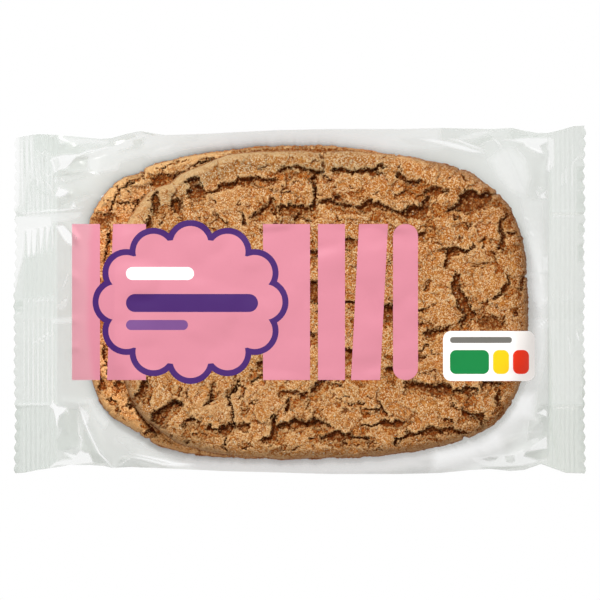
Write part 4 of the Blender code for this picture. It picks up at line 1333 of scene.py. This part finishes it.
def seal_relief(x, y, tips, ends):
    """Height of the crimps, the drawn streaks and the steps in the seals, and the crimps alone
    as ribs from -1 to 1."""
    into = np.maximum(ends[0] - x, x - ends[1])
    band = np.where(x < 0, ends[0] - tips[0], tips[1] - ends[1]) - PLAIN_BAND
    crimped = smooth(0.0, 0.0006, into) * smooth(band + 0.0003, band - 0.0003, into)
    wander = 0.00022 * noise(y, x * 0 + 0.01, 0.020, 311)
    wave = np.cos(2 * math.pi * (into + wander) / CRIMP_PITCH)
    strength = (0.75 + 0.45 * noise(x, y, 0.016, 313)) * np.where(x < 0, 1, RIGHT_CRIMPS)
    relief = CRIMP_HEIGHT * wave * crimped * strength
    in_seal = smooth(-0.0010, 0.0010, into)
    for py, step in SEAL_STEPS:
        line = pixel_y(py) + 0.0004 * noise(x, y, 0.008, 317)
        relief += step / MM * np.exp(-(((y - line) / 0.0007) ** 2)) * in_seal
    for px, top, bottom, height in DRAWN_STREAKS:
        middle, high, low = pixel_x(px), pixel_y(top), pixel_y(bottom)
        lean = 0.0012 * (y - low) / (high - low)
        ridge = np.clip(1 - np.abs(x - middle - lean) / 0.0011, 0, 1)
        fade = smooth(low, low + 0.005, y) * smooth(high, high - 0.005, y)
        relief += height / MM * ridge * fade
    return relief, wave * crimped * strength


def saw_cut(x, y, tips):
    """X of the film's points with the teeth cut into both ends."""
    for side, tip in zip((-1, 1), tips):
        band = smooth(tip - side * PLAIN_BAND, tip, x)
        wave = np.abs(((y / TOOTH_PITCH) % 1) * 2 - 1)
        bend = 0.0008 * noise(y, y * 0, 0.030, 341 + side)
        x = x - side * band * (TOOTH_DEPTH * wave**1.5 + bend)
    return x


def film_sheets(cookies, edges):
    """Grids of X, Y and the heights of the front and the back film, and the seals' ribs."""
    line, tips, ends = film_columns()
    x = np.repeat(line[:, None], len(SHARES), axis=1)
    low, high = edge_line(BOTTOM_EDGE, line)[:, None], edge_line(TOP_EDGE, line)[:, None]
    y = low + (high - low) * SHARES[None, :]
    free = (x > ends[0] + 1e-6) & (x < ends[1] - 1e-6)
    into = np.clip(np.maximum(ends[0] - x, x - ends[1]), 0, None)
    rest = SEAL_PLANE - SEAL_DROOP * (into / (ends[0] - tips[0])) ** 2
    rest += 0.0007 * noise(x * 0 + np.sign(x), y, 0.045, 321) * smooth(0.0, 0.015, into)

    # The front film: over the cookies' peaks, with folds and ripples beside them
    peaks = peaks_of(cookies, x, y)
    contents = np.where(peaks > 0, peaks + 0.00012, -1.0)
    aside = smooth(-0.0030, 0.0010, beyond_cookies(*seen_at(x, y, EDGE_PLANE), edges))
    front = relax(
        rest + FILM_GAP, x, y, free, FRONT_BULGE * aside, contents, np.full_like(x, FILM_TOP)
    )
    over = smooth(0.0, 0.004, front - contents)
    side = np.minimum(SHARES, 1 - SHARES)[None, :] * (high - low)
    loose = smooth(0.0, 0.003, side) * over * free
    ripple = 0.00050 * noise(x * 0.6, y * 1.5, 0.022, 331)
    ripple = ripple + 0.00022 * noise(x * 1.3, y * 0.8, 0.0095, 333)
    lift = fold_relief(x, y) + ripple * (0.2 + 0.8 * aside)
    front += lift * smooth(0.0, 0.0022, side) * free
    front = np.maximum(front, contents)
    front = np.where(peaks > 0, softened(front, FILM_REACH), front)
    crimps, ribs = seal_relief(x, y, tips, ends)
    front += crimps

    # The back film: flat under the lower cookie, and rising from there to the seals
    foot = inside_cookie(x, y, LOWER_COOKIE, 0.0015)
    ceiling = np.where(foot > 0.5, BACK_FLOOR, 1.0)
    back = relax(
        rest - FILM_GAP, x, y, free, np.full_like(x, -BACK_SAG), np.full_like(x, BACK_FLOOR),
        ceiling,
    )
    back += 0.5 * ripple * loose * smooth(0.0006, 0.003, back)
    back += crimps
    back = np.clip(back, BACK_FLOOR, front - 2 * FILM_GAP)
    return saw_cut(x, y, tips), y, front, back, ribs


def seen_edge(cookie):
    """A cookie's middle and its radius in each direction, as the camera sees them."""
    x, y = seen_at(*points_of(cookie.data))
    centre = ((x.max() + x.min()) / 2, (y.max() + y.min()) / 2)
    turn = np.arctan2(y - centre[1], x - centre[0])
    reach = np.zeros(EDGE_STEPS)
    step = ((turn / (2 * math.pi) + 0.5) * EDGE_STEPS).astype(int) % EDGE_STEPS
    np.maximum.at(reach, step, np.hypot(x - centre[0], y - centre[1]))
    middles = (np.arange(EDGE_STEPS) + 0.5) / EDGE_STEPS * 2 * math.pi - math.pi
    return centre, middles, reach


def beyond_cookies(x, y, edges):
    """Distance of points from the cookies' edges as the camera sees them, negative inside."""
    gaps = []
    for centre, middles, reach in edges:
        turn = np.arctan2(y - centre[1], x - centre[0])
        limit = np.interp(turn, middles, reach, period=2 * math.pi)
        gaps.append(np.hypot(x - centre[0], y - centre[1]) - limit)
    return np.minimum(*gaps)


def between_rows(y, start, end):
    """0 before the row start of the photograph, 1 beyond the row end, and an S curve between."""
    return smooth(pixel_y(start), pixel_y(end), y)


def film_tones(x, y, ribs):
    """How much painted light the film has: 1 is a white painted highlight, 0 is plain and -1 is
    painted grey.
    """
    dim = between_rows(y, *DIM_ROWS)
    dim = np.where(x < 0, dim, RIGHT_DIM * between_rows(y, *RIGHT_DIM_ROWS) + dim)
    in_seals = smooth(0.108, 0.112, np.abs(x + 0.0015))
    tone = RIB_TONE * ribs - DIM_TONE * dim * in_seals
    for value, soft, outline in TONE_FACETS:
        outline = laid_route(outline, SEAL_PLANE)
        soft = soft * PIXEL
        chosen = near_route(x, y, outline, soft)
        part = smooth(soft, -soft, beyond_outline(x[chosen], y[chosen], outline))
        tone[chosen] += (value - tone[chosen]) * part
    for value, half_width, route in TONE_LINES:
        route = laid_route(route, SEAL_PLANE)
        half_width = half_width * PIXEL
        chosen = near_route(x, y, route, half_width)
        distance, _, place = along_route(x[chosen], y[chosen], route)
        taper = smooth(0, 0.25, np.minimum(place, 1 - place))
        part = np.clip(1 - distance / half_width, 0, 1) ** 0.7 * (0.3 + 0.7 * taper)
        tone[chosen] += (value - tone[chosen]) * part
    return tone


def film_masks(x, y, z, ribs, plain, edges):
    """How cloudy the film is at each point, how much of the cookies' painted shade it shows, and
    how far it is from their edges."""
    x, y = seen_at(x, y, z)
    tone = film_tones(x, y, ribs)
    gap = beyond_cookies(x, y, edges)
    turn = np.arctan2(y - pixel_y(PILE_MIDDLE[1]), x - pixel_x(PILE_MIDDLE[0]))
    lit = np.cos(turn - GLEAM_SIDE)
    gleam = GLEAM_TONE * smooth(0.2, -0.6, lit)
    tone += gleam * smooth(0.0010, 0.0035, gap) * smooth(0.013, 0.006, gap)
    lighter, greyer = 1 - np.clip(tone, 0, 0.95), 1 - 0.75 * np.clip(tone, -1.4, 0)
    cloud = plain * np.where(tone > 0, lighter, greyer)
    shade = (0.60 + 0.30 * np.cos(turn - SHADE_SIDE)) * np.exp(-np.clip(gap, 0, 1) / SHADE_REACH)
    return cloud, shade, gap


def cleared(cloud, share):
    """The film's cloudiness where only this share of it is left."""
    return CLEAR_CLOUD + (cloud - CLEAR_CLOUD) * share


def sheet_piece(name, x, y, z, cloud, shade, finish, faces_down):
    """A grid of points as a sheet of film, with its cloudiness and its shade as masks."""
    quads, _ = grid_quads(x.shape)
    if faces_down:
        quads = quads[:, ::-1]
    ones = np.ones(x.size)
    points = np.stack([x.ravel(), y.ravel(), z.ravel()], 1)
    masks = np.column_stack([cloud.ravel(), shade.ravel(), ones, ones])
    piece = woven_piece(name, points, quads, "cloud", masks)
    piece.data.materials.append(finish)
    return piece


def film_pieces(cookies):
    """The front and the back film over these cookies, and the print on the front one."""
    edges = [seen_edge(cookie) for cookie in cookies]
    x, y, front, back, ribs = film_sheets(cookies, edges)
    clear = film_finish()

    # The front film is clear over the cookies, and nearly clear where it stretches down their sides
    cloud, shade, gap = film_masks(x, y, front, ribs, FRONT_CLOUD, edges)
    rise_x = np.gradient(front, axis=0) / np.gradient(x, axis=0)
    rise_y = np.gradient(front, axis=1) / np.gradient(y, axis=1)
    rise = np.hypot(rise_x, rise_y)
    stretched_down = smooth(0.7, 1.6, rise) * smooth(0.009, 0.005, gap)
    flat = 1 - STRETCHED_CLEAR * stretched_down
    cloud = cleared(cloud, smooth(-0.0003, 0.0003, gap) * flat)
    pieces = [sheet_piece("film_front", x, y, front, cloud, 0 * shade, clear, False)]

    # The back film carries the cookies' soft painted shade, and the back seam
    cloud, shade, gap = film_masks(x, y, back, ribs, BACK_CLOUD, edges)
    cloud = cleared(cloud + (SHADE_CLOUD - cloud) * shade, smooth(-0.0040, -0.0020, gap))
    seam = between_rows(y, *SEAM_TOP) * between_rows(y, *SEAM_BOTTOM)
    cloud = cloud + SEAM_CLOUD * seam * (1 - cloud)
    pieces.append(sheet_piece("film_back", x, y, back, cloud, shade, clear, True))
    return pieces + label_pieces((film_columns()[0], y, front), edges)


# The print: fields of plain colour on the front film, with their places in pixels

PRINT_EDGE, PRINT_CELL = 2.8, 1.8  # steps of a field's edge and of its inside
CORNER_STEPS = 8  # of each rounded corner
HEIGHT_STEPS = 5  # how often a field's place and height are worked out from each other
PRINT_STEP = 0.00011  # how much higher each layer of the print lies
INKS = {  # colours, 0 to 255 on a screen, and how much painted sheen makes each paler beyond the cookies
    "pink": ((208, 134, 155), 0.36),
    "purple": ((68, 34, 108), 0.0),
    "lilac": ((116, 76, 140), 0.0),
    "white": ((248, 248, 252), 0.0),
    "grey": ((112, 112, 110), 0.0),
    "green": ((10, 132, 68), 0.0),
    "yellow": ((252, 204, 8), 0.0),
    "red": ((230, 50, 22), 0.0),
}
PINK_BARS = (
    (72, 224, 100, 224, 100, 380, 72, 380),
    (113, 224, 146, 224, 146, 380, 107, 380),
    (263, 224, 310, 224, 310, 380, 263, 380),
    (318, 224, 345, 224, 345, 380, 318, 380),
    (359, 224, 388, 224, 380, 380, 351, 380),
)
LAST_BAR = (393, 224, 418, 380, 12)
LABEL_CENTRE, LABEL_HALF = (190.5, 302), (93, 77)
SCALLOPS, SCALLOP = 12, 19  # how many there are around the label, and their radius
SCALLOP_STEPS, SCALLOP_TURN = 10, math.radians(78)  # of each half, and how far round it goes
# The label's scalloped fields: name, ink, layer and how far out they are moved
LABEL_RIMS = (("label_rim", "purple", 2, 5.0), ("label_field", "pink", 3, -1.0))
# Rounded boxes: name, ink, layer, and left, top, right, bottom and the radius of the corners
PRINT_BOXES = (
    ("label_name_bar", "purple", 4, (126, 294, 258, 312, 9)),
    ("label_kind_bar", "lilac", 4, (126, 320, 188, 330, 5)),
    ("label_top_bar", "white", 4, (126, 267, 194, 280, 6.5)),
    ("white_label", "white", 4, (443, 331, 535, 381, 8)),
    ("white_label_bar", "grey", 5, (450, 337, 512, 343, 3)),
    ("white_label_green", "green", 5, (450, 350, 489, 374, 6)),
    ("white_label_yellow", "yellow", 5, (493, 350, 509, 374, 6)),
    ("white_label_red", "red", 5, (513, 350, 529, 374, 6)),
)

# What the print hides of the upper cookie: columns under the pink bars, their rows, how far
# the label's oval is drawn in, a box under the white label, and how high the print lies
HIDDEN_COLUMNS = ((117, 143), (266, 307), (321, 342), (362, 377), (396, 415))
HIDDEN_ROWS = (227, 377)
HIDDEN_MARGIN = 10
HIDDEN_BOX = (446, 334, 515, 378)
PRINT_PLANE = 0.030


def rounded_box(left, top, right, bottom, corner):
    """Outline of a rounded box."""
    points = []
    centres = (
        (right - corner, top + corner, -90), (right - corner, bottom - corner, 0),
        (left + corner, bottom - corner, 90), (left + corner, top + corner, 180),
    )
    for cx, cy, start in centres:
        for k in range(CORNER_STEPS + 1):
            turn = math.radians(start + 90 * k / CORNER_STEPS)
            points.append((cx + corner * math.cos(turn), cy + corner * math.sin(turn)))
    return points


def scalloped(grow):
    """Outline of the label's scalloped edge, moved out this far."""
    points = []
    for k in range(SCALLOPS):
        seat = 2 * math.pi * k / SCALLOPS
        sx = LABEL_CENTRE[0] + (LABEL_HALF[0] - SCALLOP) * math.cos(seat)
        sy = LABEL_CENTRE[1] + (LABEL_HALF[1] - SCALLOP) * math.sin(seat)
        lean = math.atan2(math.sin(seat) / LABEL_HALF[1], math.cos(seat) / LABEL_HALF[0])
        reach = SCALLOP + grow
        for step in range(-SCALLOP_STEPS, SCALLOP_STEPS + 1):
            turn = lean + step / SCALLOP_STEPS * SCALLOP_TURN
            points.append((sx + reach * math.cos(turn), sy + reach * math.sin(turn)))
    return points


def film_height(x, y, sheet):
    """The front film's height under points."""
    line, y_grid, z_grid = sheet
    column = np.clip(np.searchsorted(line, x) - 1, 0, len(line) - 2)
    share = (x - line[column]) / (line[column + 1] - line[column])
    heights = []
    for edge in (column, column + 1):
        low, high = y_grid[edge, 0], y_grid[edge, -1]
        place = np.interp((y - low) / (high - low), SHARES, np.arange(len(SHARES)))
        row = np.clip(place.astype(int), 0, len(SHARES) - 2)
        part = place - row
        heights.append(z_grid[edge, row] * (1 - part) + z_grid[edge, row + 1] * part)
    return heights[0] * (1 - share) + heights[1] * share


def field_mesh(name, outlines, lift, sheet):
    """Fields with these outlines as one mesh, this far above the front film."""
    mesh = bmesh.new()
    for outline in outlines:
        rim = np.reshape(outline, (-1, 2))
        dense = []
        for start, end in zip(rim, np.roll(rim, -1, axis=0)):
            count = max(1, int(math.hypot(*(end - start)) / PRINT_EDGE))
            dense += [Vector(start + (end - start) * k / count) for k in range(count)]
        low, high = rim.min(axis=0), rim.max(axis=0)
        inner = np.meshgrid(*(np.arange(a, b, PRINT_CELL) for a, b in zip(low, high)))
        points = dense + [Vector(p) for p in np.stack(inner, -1).reshape(-1, 2)]
        around = range(len(dense))
        sides = [(k, (k + 1) % len(dense)) for k in around]
        flat, _, faces, _, _, _ = delaunay_2d_cdt(points, sides, [list(around)], 1, 1e-4)
        px, py = np.array(flat).T
        height = np.full(len(flat), FILM_TOP)
        for _ in range(HEIGHT_STEPS):
            x, y = at_pixel(px, py, height)
            height = film_height(x, y, sheet) + lift
        corners = [mesh.verts.new(place) for place in zip(x, y, height)]
        for face in faces:
            made = mesh.faces.new([corners[k] for k in face])
            made.normal_update()
            if made.normal.z < 0:
                made.normal_flip()
    loose = [v for v in mesh.verts if not v.link_faces]
    bmesh.ops.delete(mesh, geom=loose, context="VERTS")
    data = bpy.data.meshes.new(name)
    mesh.to_mesh(data)
    mesh.free()
    data.shade_smooth()
    return data


def print_piece(name, outlines, layer, sheet, edges, finish):
    """Fields of print with these outlines, lying on the front film."""
    data = field_mesh(name, outlines, layer * PRINT_STEP, sheet)
    data.materials.append(finish)
    x, y = seen_at(*points_of(data))
    # Painted sheen: the ink turns paler where the film lies loose beyond the cookies, the more where the
    # film has painted highlights
    bare = smooth(-0.0030, 0.0010, beyond_cookies(x, y, edges))
    painted_paleness = bare * (0.45 + 0.5 * film_tones(x, y, 0 * x))
    colours = data.color_attributes.new("painted_paleness", "FLOAT_COLOR", "POINT")
    colours.data.foreach_set("color", np.repeat(np.clip(painted_paleness, 0, 1), 4))
    return linked(name, data)


def label_pieces(sheet, edges):
    """The pink bars, the scalloped label and the small white label."""
    finishes = {ink: print_finish(f"print_{ink}", *looks) for ink, looks in INKS.items()}
    bars = [*PINK_BARS, rounded_box(*LAST_BAR)]
    fields = [("pink_bars", "pink", 1, bars)]
    fields += [(name, ink, layer, [scalloped(grow)]) for name, ink, layer, grow in LABEL_RIMS]
    fields += [(name, ink, layer, [rounded_box(*box)]) for name, ink, layer, box in PRINT_BOXES]
    return [
        print_piece(name, outlines, layer, sheet, edges, finishes[ink])
        for name, ink, layer, outlines in fields
    ]


def under_print(x, y):
    """Which points of the upper cookie's top lie well under the print."""
    px, py = shown_at(x, y, PRINT_PLANE)
    away = ((px - LABEL_CENTRE[0]) / (LABEL_HALF[0] - HIDDEN_MARGIN)) ** 2
    away += ((py - LABEL_CENTRE[1]) / (LABEL_HALF[1] - HIDDEN_MARGIN)) ** 2
    covered = away < 1
    boxes = [(left, HIDDEN_ROWS[0], right, HIDDEN_ROWS[1]) for left, right in HIDDEN_COLUMNS]
    for left, top, right, bottom in (*boxes, HIDDEN_BOX):
        covered |= (px > left) & (px < right) & (py > top) & (py < bottom)
    return covered


def under_upper_cookie(x, y):
    """Which points of the lower cookie's top lie well under the upper cookie."""
    return inside_cookie(x, y, UPPER_COOKIE, 0.005) > 0.5


# Materials


class Wire:
    """A node's output, on which Python's operators add Math nodes."""

    def __init__(self, finish, socket):
        self.finish = finish
        self.socket = socket

    def outlet(self, output):
        """Another output of the same node."""
        return Wire(self.finish, self.socket.node.outputs[output])

    def maths(self, operation, first, second):
        return self.finish.add("ShaderNodeMath", {"operation": operation}, {0: first, 1: second})

    def __add__(self, other):
        return self.maths("ADD", self, other)

    def __sub__(self, other):
        return self.maths("SUBTRACT", self, other)

    def __rsub__(self, other):
        return self.maths("SUBTRACT", other, self)

    def __mul__(self, other):
        return self.maths("MULTIPLY", self, other)

    __radd__ = __add__
    __rmul__ = __mul__


class Finish:
    """A material, and the one method that adds a node to it."""

    def __init__(self, name):
        self.material = bpy.data.materials.new(name)
        self.material.use_nodes = True
        self.nodes = self.material.node_tree.nodes
        self.links = self.material.node_tree.links
        self.nodes.clear()
        self.output = self.nodes.new("ShaderNodeOutputMaterial")

    def add(self, kind, settings=None, sockets=None, output=0):
        """A node with these settings, and values or links in these sockets, as its output."""
        node = self.nodes.new(kind)
        for key, value in (settings or {}).items():
            setattr(node, key, value)
        for key, value in (sockets or {}).items():
            if isinstance(value, Wire):
                self.links.new(value.socket, node.inputs[key])
            else:
                node.inputs[key].default_value = value
        return Wire(self, node.outputs[output])

    def surface(self, kind, sockets):
        """Makes a shader the surface, and gives back the material."""
        shader = self.add(kind, None, sockets)
        self.links.new(shader.socket, self.output.inputs["Surface"])
        return self.material


def linear(red, green, blue):
    """A colour given as 0 to 255 on a screen, as the renderer's linear numbers."""
    parts = []
    for value in (red, green, blue):
        value /= 255
        parts.append(value / 12.92 if value <= 0.04045 else ((value + 0.055) / 1.055) ** 2.4)
    return (*parts, 1.0)


def mixed(factor, first, second, blend="MIX"):
    """A colour between two, or blended from them."""
    finish = next(part.finish for part in (factor, first, second) if isinstance(part, Wire))
    return finish.add(
        "ShaderNodeMix",
        {"data_type": "RGBA", "blend_type": blend, "clamp_factor": True},
        {"Factor": factor, 6: first, 7: second},
        2,
    )


def blotches(place, scale, detail, roughness=0.55):
    """Soft noise from 0 to 1."""
    return place.finish.add(
        "ShaderNodeTexNoise",
        None,
        {"Vector": place, "Scale": scale, "Detail": detail, "Roughness": roughness},
    )


def stretched(value, low, high):
    """0 where the value is under low and 1 where it is over high."""
    return value.finish.add(
        "ShaderNodeMapRange",
        {"clamp": True},
        {"Value": value, "From Min": low, "From Max": high},
    )


def masks_of(colour):
    """The three parts of a colour, each as a wire."""
    parts = colour.finish.add("ShaderNodeSeparateColor", None, {"Color": colour})
    return [parts.outlet(k) for k in range(3)]


def grains(place, scale):
    """Distance from the middle of the nearest grain, and a shade drawn for that grain."""
    distance = place.finish.add(
        "ShaderNodeTexVoronoi", {"feature": "F1"}, {"Vector": place, "Scale": scale}
    )
    return distance, masks_of(distance.outlet("Color"))[0]


# Colours of the dough, and of the painted shade, highlights and light laid on it
PLATE_TAN = linear(188, 123, 56)
PLATE_LIGHT = linear(198, 138, 71)
PLATE_BROWN = linear(184, 108, 38)
CRUMB_BROWN = linear(178, 84, 14)
CRUMB_LIGHT = linear(200, 110, 28)
FROSTED_PLATE = linear(224, 203, 166)
FROSTED_CRUMB = linear(222, 180, 116)
SPECK_BROWN = linear(130, 54, 6)
SUNK_CRUMB_AND_SHADE = linear(100, 42, 8)
CREVICE_SHADE = linear(78, 20, 1)
LOW_PLACE_SHADE = linear(156, 74, 12)
WORN_EDGE_AND_HIGHLIGHT = linear(220, 180, 128)
HAIRLINE_BROWN = linear(112, 52, 12)
SUGAR_WHITE = linear(232, 218, 192)
RIM_SHADE = (0.74, 0.62, 0.64, 1.0)
RIM_COOL_SHADE = (0.80, 0.88, 0.96, 1.0)
# Painted light: the lower cookie's colours are brightened to offset the shade that it lies in
UPPER_PAINTED_LIGHT, LOWER_PAINTED_LIGHT = (1.0, 1.0, 1.0, 1.0), (1.30, 1.22, 1.12, 1.0)


def hairline_cracks(place):
    """1 along the borders of two sizes of crooked cells, shown in patches."""
    finish = place.finish
    noisy = finish.add(
        "ShaderNodeTexNoise", None,
        {"Vector": place, "Scale": 420.0, "Detail": 4.0, "Roughness": 0.75}, 1,
    )
    crooked = finish.add(
        "ShaderNodeVectorMath", {"operation": "MULTIPLY_ADD"},
        {0: noisy, 1: (0.0042, 0.0042, 0.0042), 2: place},
    )
    hairline = 0.0
    for size, width, low, high in ((95.0, 0.026, 0.50, 0.62), (240.0, 0.040, 0.58, 0.68)):
        border = finish.add(
            "ShaderNodeTexVoronoi", {"feature": "DISTANCE_TO_EDGE"},
            {"Vector": crooked, "Scale": size},
        )
        patch = stretched(blotches(place, size * 0.9, 2.0), low, high)
        hairline = stretched(border, width, width * 0.3) * patch + hairline
    return hairline


def cookie_finish(name, painted_light):
    """Baked speculoos dough: tan plates, darker crumbly cracks, sugar grains and spice, with painted
    shade in the cracks, the hollows and low places, painted highlights on raised edges and painted
    shade on the rim. The painted light is a colour that all of it is multiplied by, which
    brightens a cookie that lies in the other's shade."""
    finish = Finish(name)
    place = finish.add("ShaderNodeTexCoord", output=3)
    masks = finish.add("ShaderNodeVertexColor", {"layer_name": "baked"})
    deep, bared, rim_shading = masks_of(masks)
    hollow = masks.outlet("Alpha")
    crumbly = stretched(bared, 0.0, 0.6)
    sunk = stretched(bared, 0.62, 1.0)
    broad = blotches(place, 55.0, 3.0)
    blotch = blotches(place, 230.0, 4.0, 0.6)
    fine = blotches(place, 900.0, 4.0, 0.8)
    swell = blotches(place, 520.0, 3.0, 0.7)
    grain, grain_shade = grains(place, 1200.0)
    dust, dust_shade = grains(place, 2150.0)
    sugar_grain, sugar_shade = grains(place, 620.0)
    sugar = stretched(sugar_shade, 0.955, 0.965) * stretched(sugar_grain, 0.30, 0.20)
    hairline = hairline_cracks(place) * (0.35 + 0.65 * crumbly)
    speckle = 0.24 * fine + 0.20 * grain_shade + dust_shade

    plate = mixed(stretched(broad, 0.35, 0.65), PLATE_TAN, PLATE_LIGHT)
    plate = mixed(stretched(blotch, 0.45, 0.72) * 0.6, plate, PLATE_BROWN)
    crumb = mixed(stretched(blotch, 0.38, 0.62), CRUMB_BROWN, CRUMB_LIGHT)
    colour = mixed(crumbly * 0.85, plate, crumb)
    for amount, tone, blend in (
        (stretched(speckle, 0.80, 1.12) * 0.78, mixed(crumbly, FROSTED_PLATE, FROSTED_CRUMB), "MIX"),
        (stretched(speckle, 0.70, 0.26) * (0.74 + 0.20 * crumbly), SPECK_BROWN, "MIX"),
        # Darker crumb in the hollows, with painted shade in the gaps between its crumbs
        (sunk * 0.70, SUNK_CRUMB_AND_SHADE, "MIX"),
        # Painted shade deep in the cracks and below the hollows' top and left walls
        (stretched(deep, 0.25, 0.95), CREVICE_SHADE, "MIX"),
        # Painted shade in low places; on raised ones, lighter worn edges with painted highlights
        (stretched(hollow, 0.53, 0.95) * 0.65, LOW_PLACE_SHADE, "MIX"),
        (stretched(hollow, 0.45, 0.05) * (0.65 - 0.35 * sunk), WORN_EDGE_AND_HIGHLIGHT, "MIX"),
        # Painted shade on the rim, and a cool painted shade on the rim that faces the light
        (stretched(rim_shading, 0.375, 0.05) * 0.5, RIM_SHADE, "MULTIPLY"),
        (stretched(rim_shading, 0.5, 1.0), RIM_COOL_SHADE, "MULTIPLY"),
        (hairline * 0.6, HAIRLINE_BROWN, "MIX"),
        (sugar * 0.8, SUGAR_WHITE, "MIX"),
        (1.0, painted_light, "MULTIPLY"),
    ):
        colour = mixed(amount, colour, tone, blend)

    loose = 0.10 + 0.90 * crumbly + 0.8 * stretched(rim_shading, 0.40, 0.10)
    relief = (fine + swell * 0.6 - grain * 0.35) * loose - dust * 0.26
    relief = relief + sugar * 0.3 - hairline * 0.5
    normal = finish.add(
        "ShaderNodeBump", None, {"Strength": 1.0, "Distance": 0.0014, "Height": relief}
    )
    return finish.surface("ShaderNodeBsdfPrincipled", {
        "Base Color": colour,
        "Roughness": 0.82 - 0.25 * sugar,
        "Specular IOR Level": 0.08,
        "Normal": normal,
    })


def film_finish():
    """Clear packing film: see-through, cloudier where it lies on nothing, and glossy. Its
    cloudiness carries painted highlights and painted grey, and its colour the cookies' painted
    shade.
    """
    finish = Finish("clear_packing_film")
    place = finish.add("ShaderNodeTexCoord", output=3)
    cloud, shade, _ = masks_of(finish.add("ShaderNodeVertexColor", {"layer_name": "cloud"}))
    streaks = blotches(place, 60.0, 4.0, 0.6)
    return finish.surface("ShaderNodeBsdfPrincipled", {
        "Base Color": mixed(shade, FILM_COLOUR, FILM_SHADE),
        "Roughness": 0.20,
        "Specular IOR Level": 0.42,
        "Alpha": cloud * (0.92 + 0.16 * streaks),
    })


def print_finish(name, colour, sheen):
    """Printing ink on glossy film. The sheen is how much painted sheen makes it paler beyond the
    cookies.
    """
    finish = Finish(name)
    place = finish.add("ShaderNodeTexCoord", output=3)
    mottle = blotches(place, 900.0, 2.0)
    painted_paleness = masks_of(finish.add("ShaderNodeVertexColor", {"layer_name": "painted_paleness"}))[0]
    ink = linear(*colour)
    paler = (*(min(1.0, part * 1.03) for part in ink[:3]), 1.0)
    sheened = (*(max(part, part + sheen * (0.60 - part)) for part in ink[:3]), 1.0)
    return finish.surface("ShaderNodeBsdfPrincipled", {
        "Base Color": mixed(painted_paleness, mixed(mottle, ink, paler), sheened),
        "Roughness": 0.5,
        "Specular IOR Level": 0.2,
    })


# Floor, light and camera

AIR, AIR_LIGHT = (1.0, 0.86, 0.71, 1.0), 0.22
FLOOR_HALF, FLOOR_DROP = 1.6, 0.0002
# Lamps: name, place, diameter, power and colour
LAMPS = (
    ("key", (-0.33, 0.69, 0.90), 0.20, 14.6, (1.0, 0.985, 0.96)),
    ("fill", (0.45, -0.45, 1.00), 0.90, 4.8, (1.0, 0.94, 0.85)),
)


def studio():
    """A white floor that glows evenly, lamps above the pack's top left, and the camera."""
    scene = bpy.context.scene
    scene.view_settings.view_transform = "Standard"
    scene.view_settings.look = "None"
    world = bpy.data.worlds.new("studio")
    world.use_nodes = True
    air = world.node_tree.nodes["Background"].inputs
    air["Color"].default_value = AIR
    air["Strength"].default_value = AIR_LIGHT
    scene.world = world

    mesh = bmesh.new()
    bmesh.ops.create_grid(mesh, x_segments=1, y_segments=1, size=FLOOR_HALF)
    data = bpy.data.meshes.new("floor")
    mesh.to_mesh(data)
    mesh.free()
    glow = {"Color": (1, 1, 1, 1), "Strength": 1.0}
    data.materials.append(Finish("white_floor").surface("ShaderNodeEmission", glow))
    floor = linked("floor", data)
    floor.location.z = -FLOOR_DROP

    for name, place, size, power, colour in LAMPS:
        light = bpy.data.lights.new(name, "AREA")
        light.shape = "DISK"
        light.size = size
        light.energy = power
        light.color = colour
        lamp = linked(name, light)
        lamp.location = place
        lamp.rotation_euler = (-Vector(place)).to_track_quat("-Z", "Y").to_euler()

    lens = bpy.data.cameras.new("camera")
    lens.lens = LENS
    lens.sensor_width = SENSOR
    lens.clip_start = 0.01
    lens.clip_end = 20.0
    scene.camera = linked("camera", lens)
    scene.camera.location = (CAMERA_X, CAMERA_Y, CAMERA_HEIGHT)


def main():
    """The studio, and the pack's pieces on its one body."""
    studio()
    dough = cookie_finish("baked_speculoos", UPPER_PAINTED_LIGHT)
    lightened_dough = cookie_finish("lightened_speculoos", LOWER_PAINTED_LIGHT)
    cookies = (
        cookie_piece("lower_cookie", LOWER_COOKIE, lightened_dough, under_upper_cookie),
        cookie_piece("upper_cookie", UPPER_COOKIE, dough, under_print),
    )
    packing = film_pieces(cookies)
    for piece in packing:
        piece.visible_shadow = False
    for piece in (*cookies, *packing):
        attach(piece, "root")
        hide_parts("sealed_bag")


main()
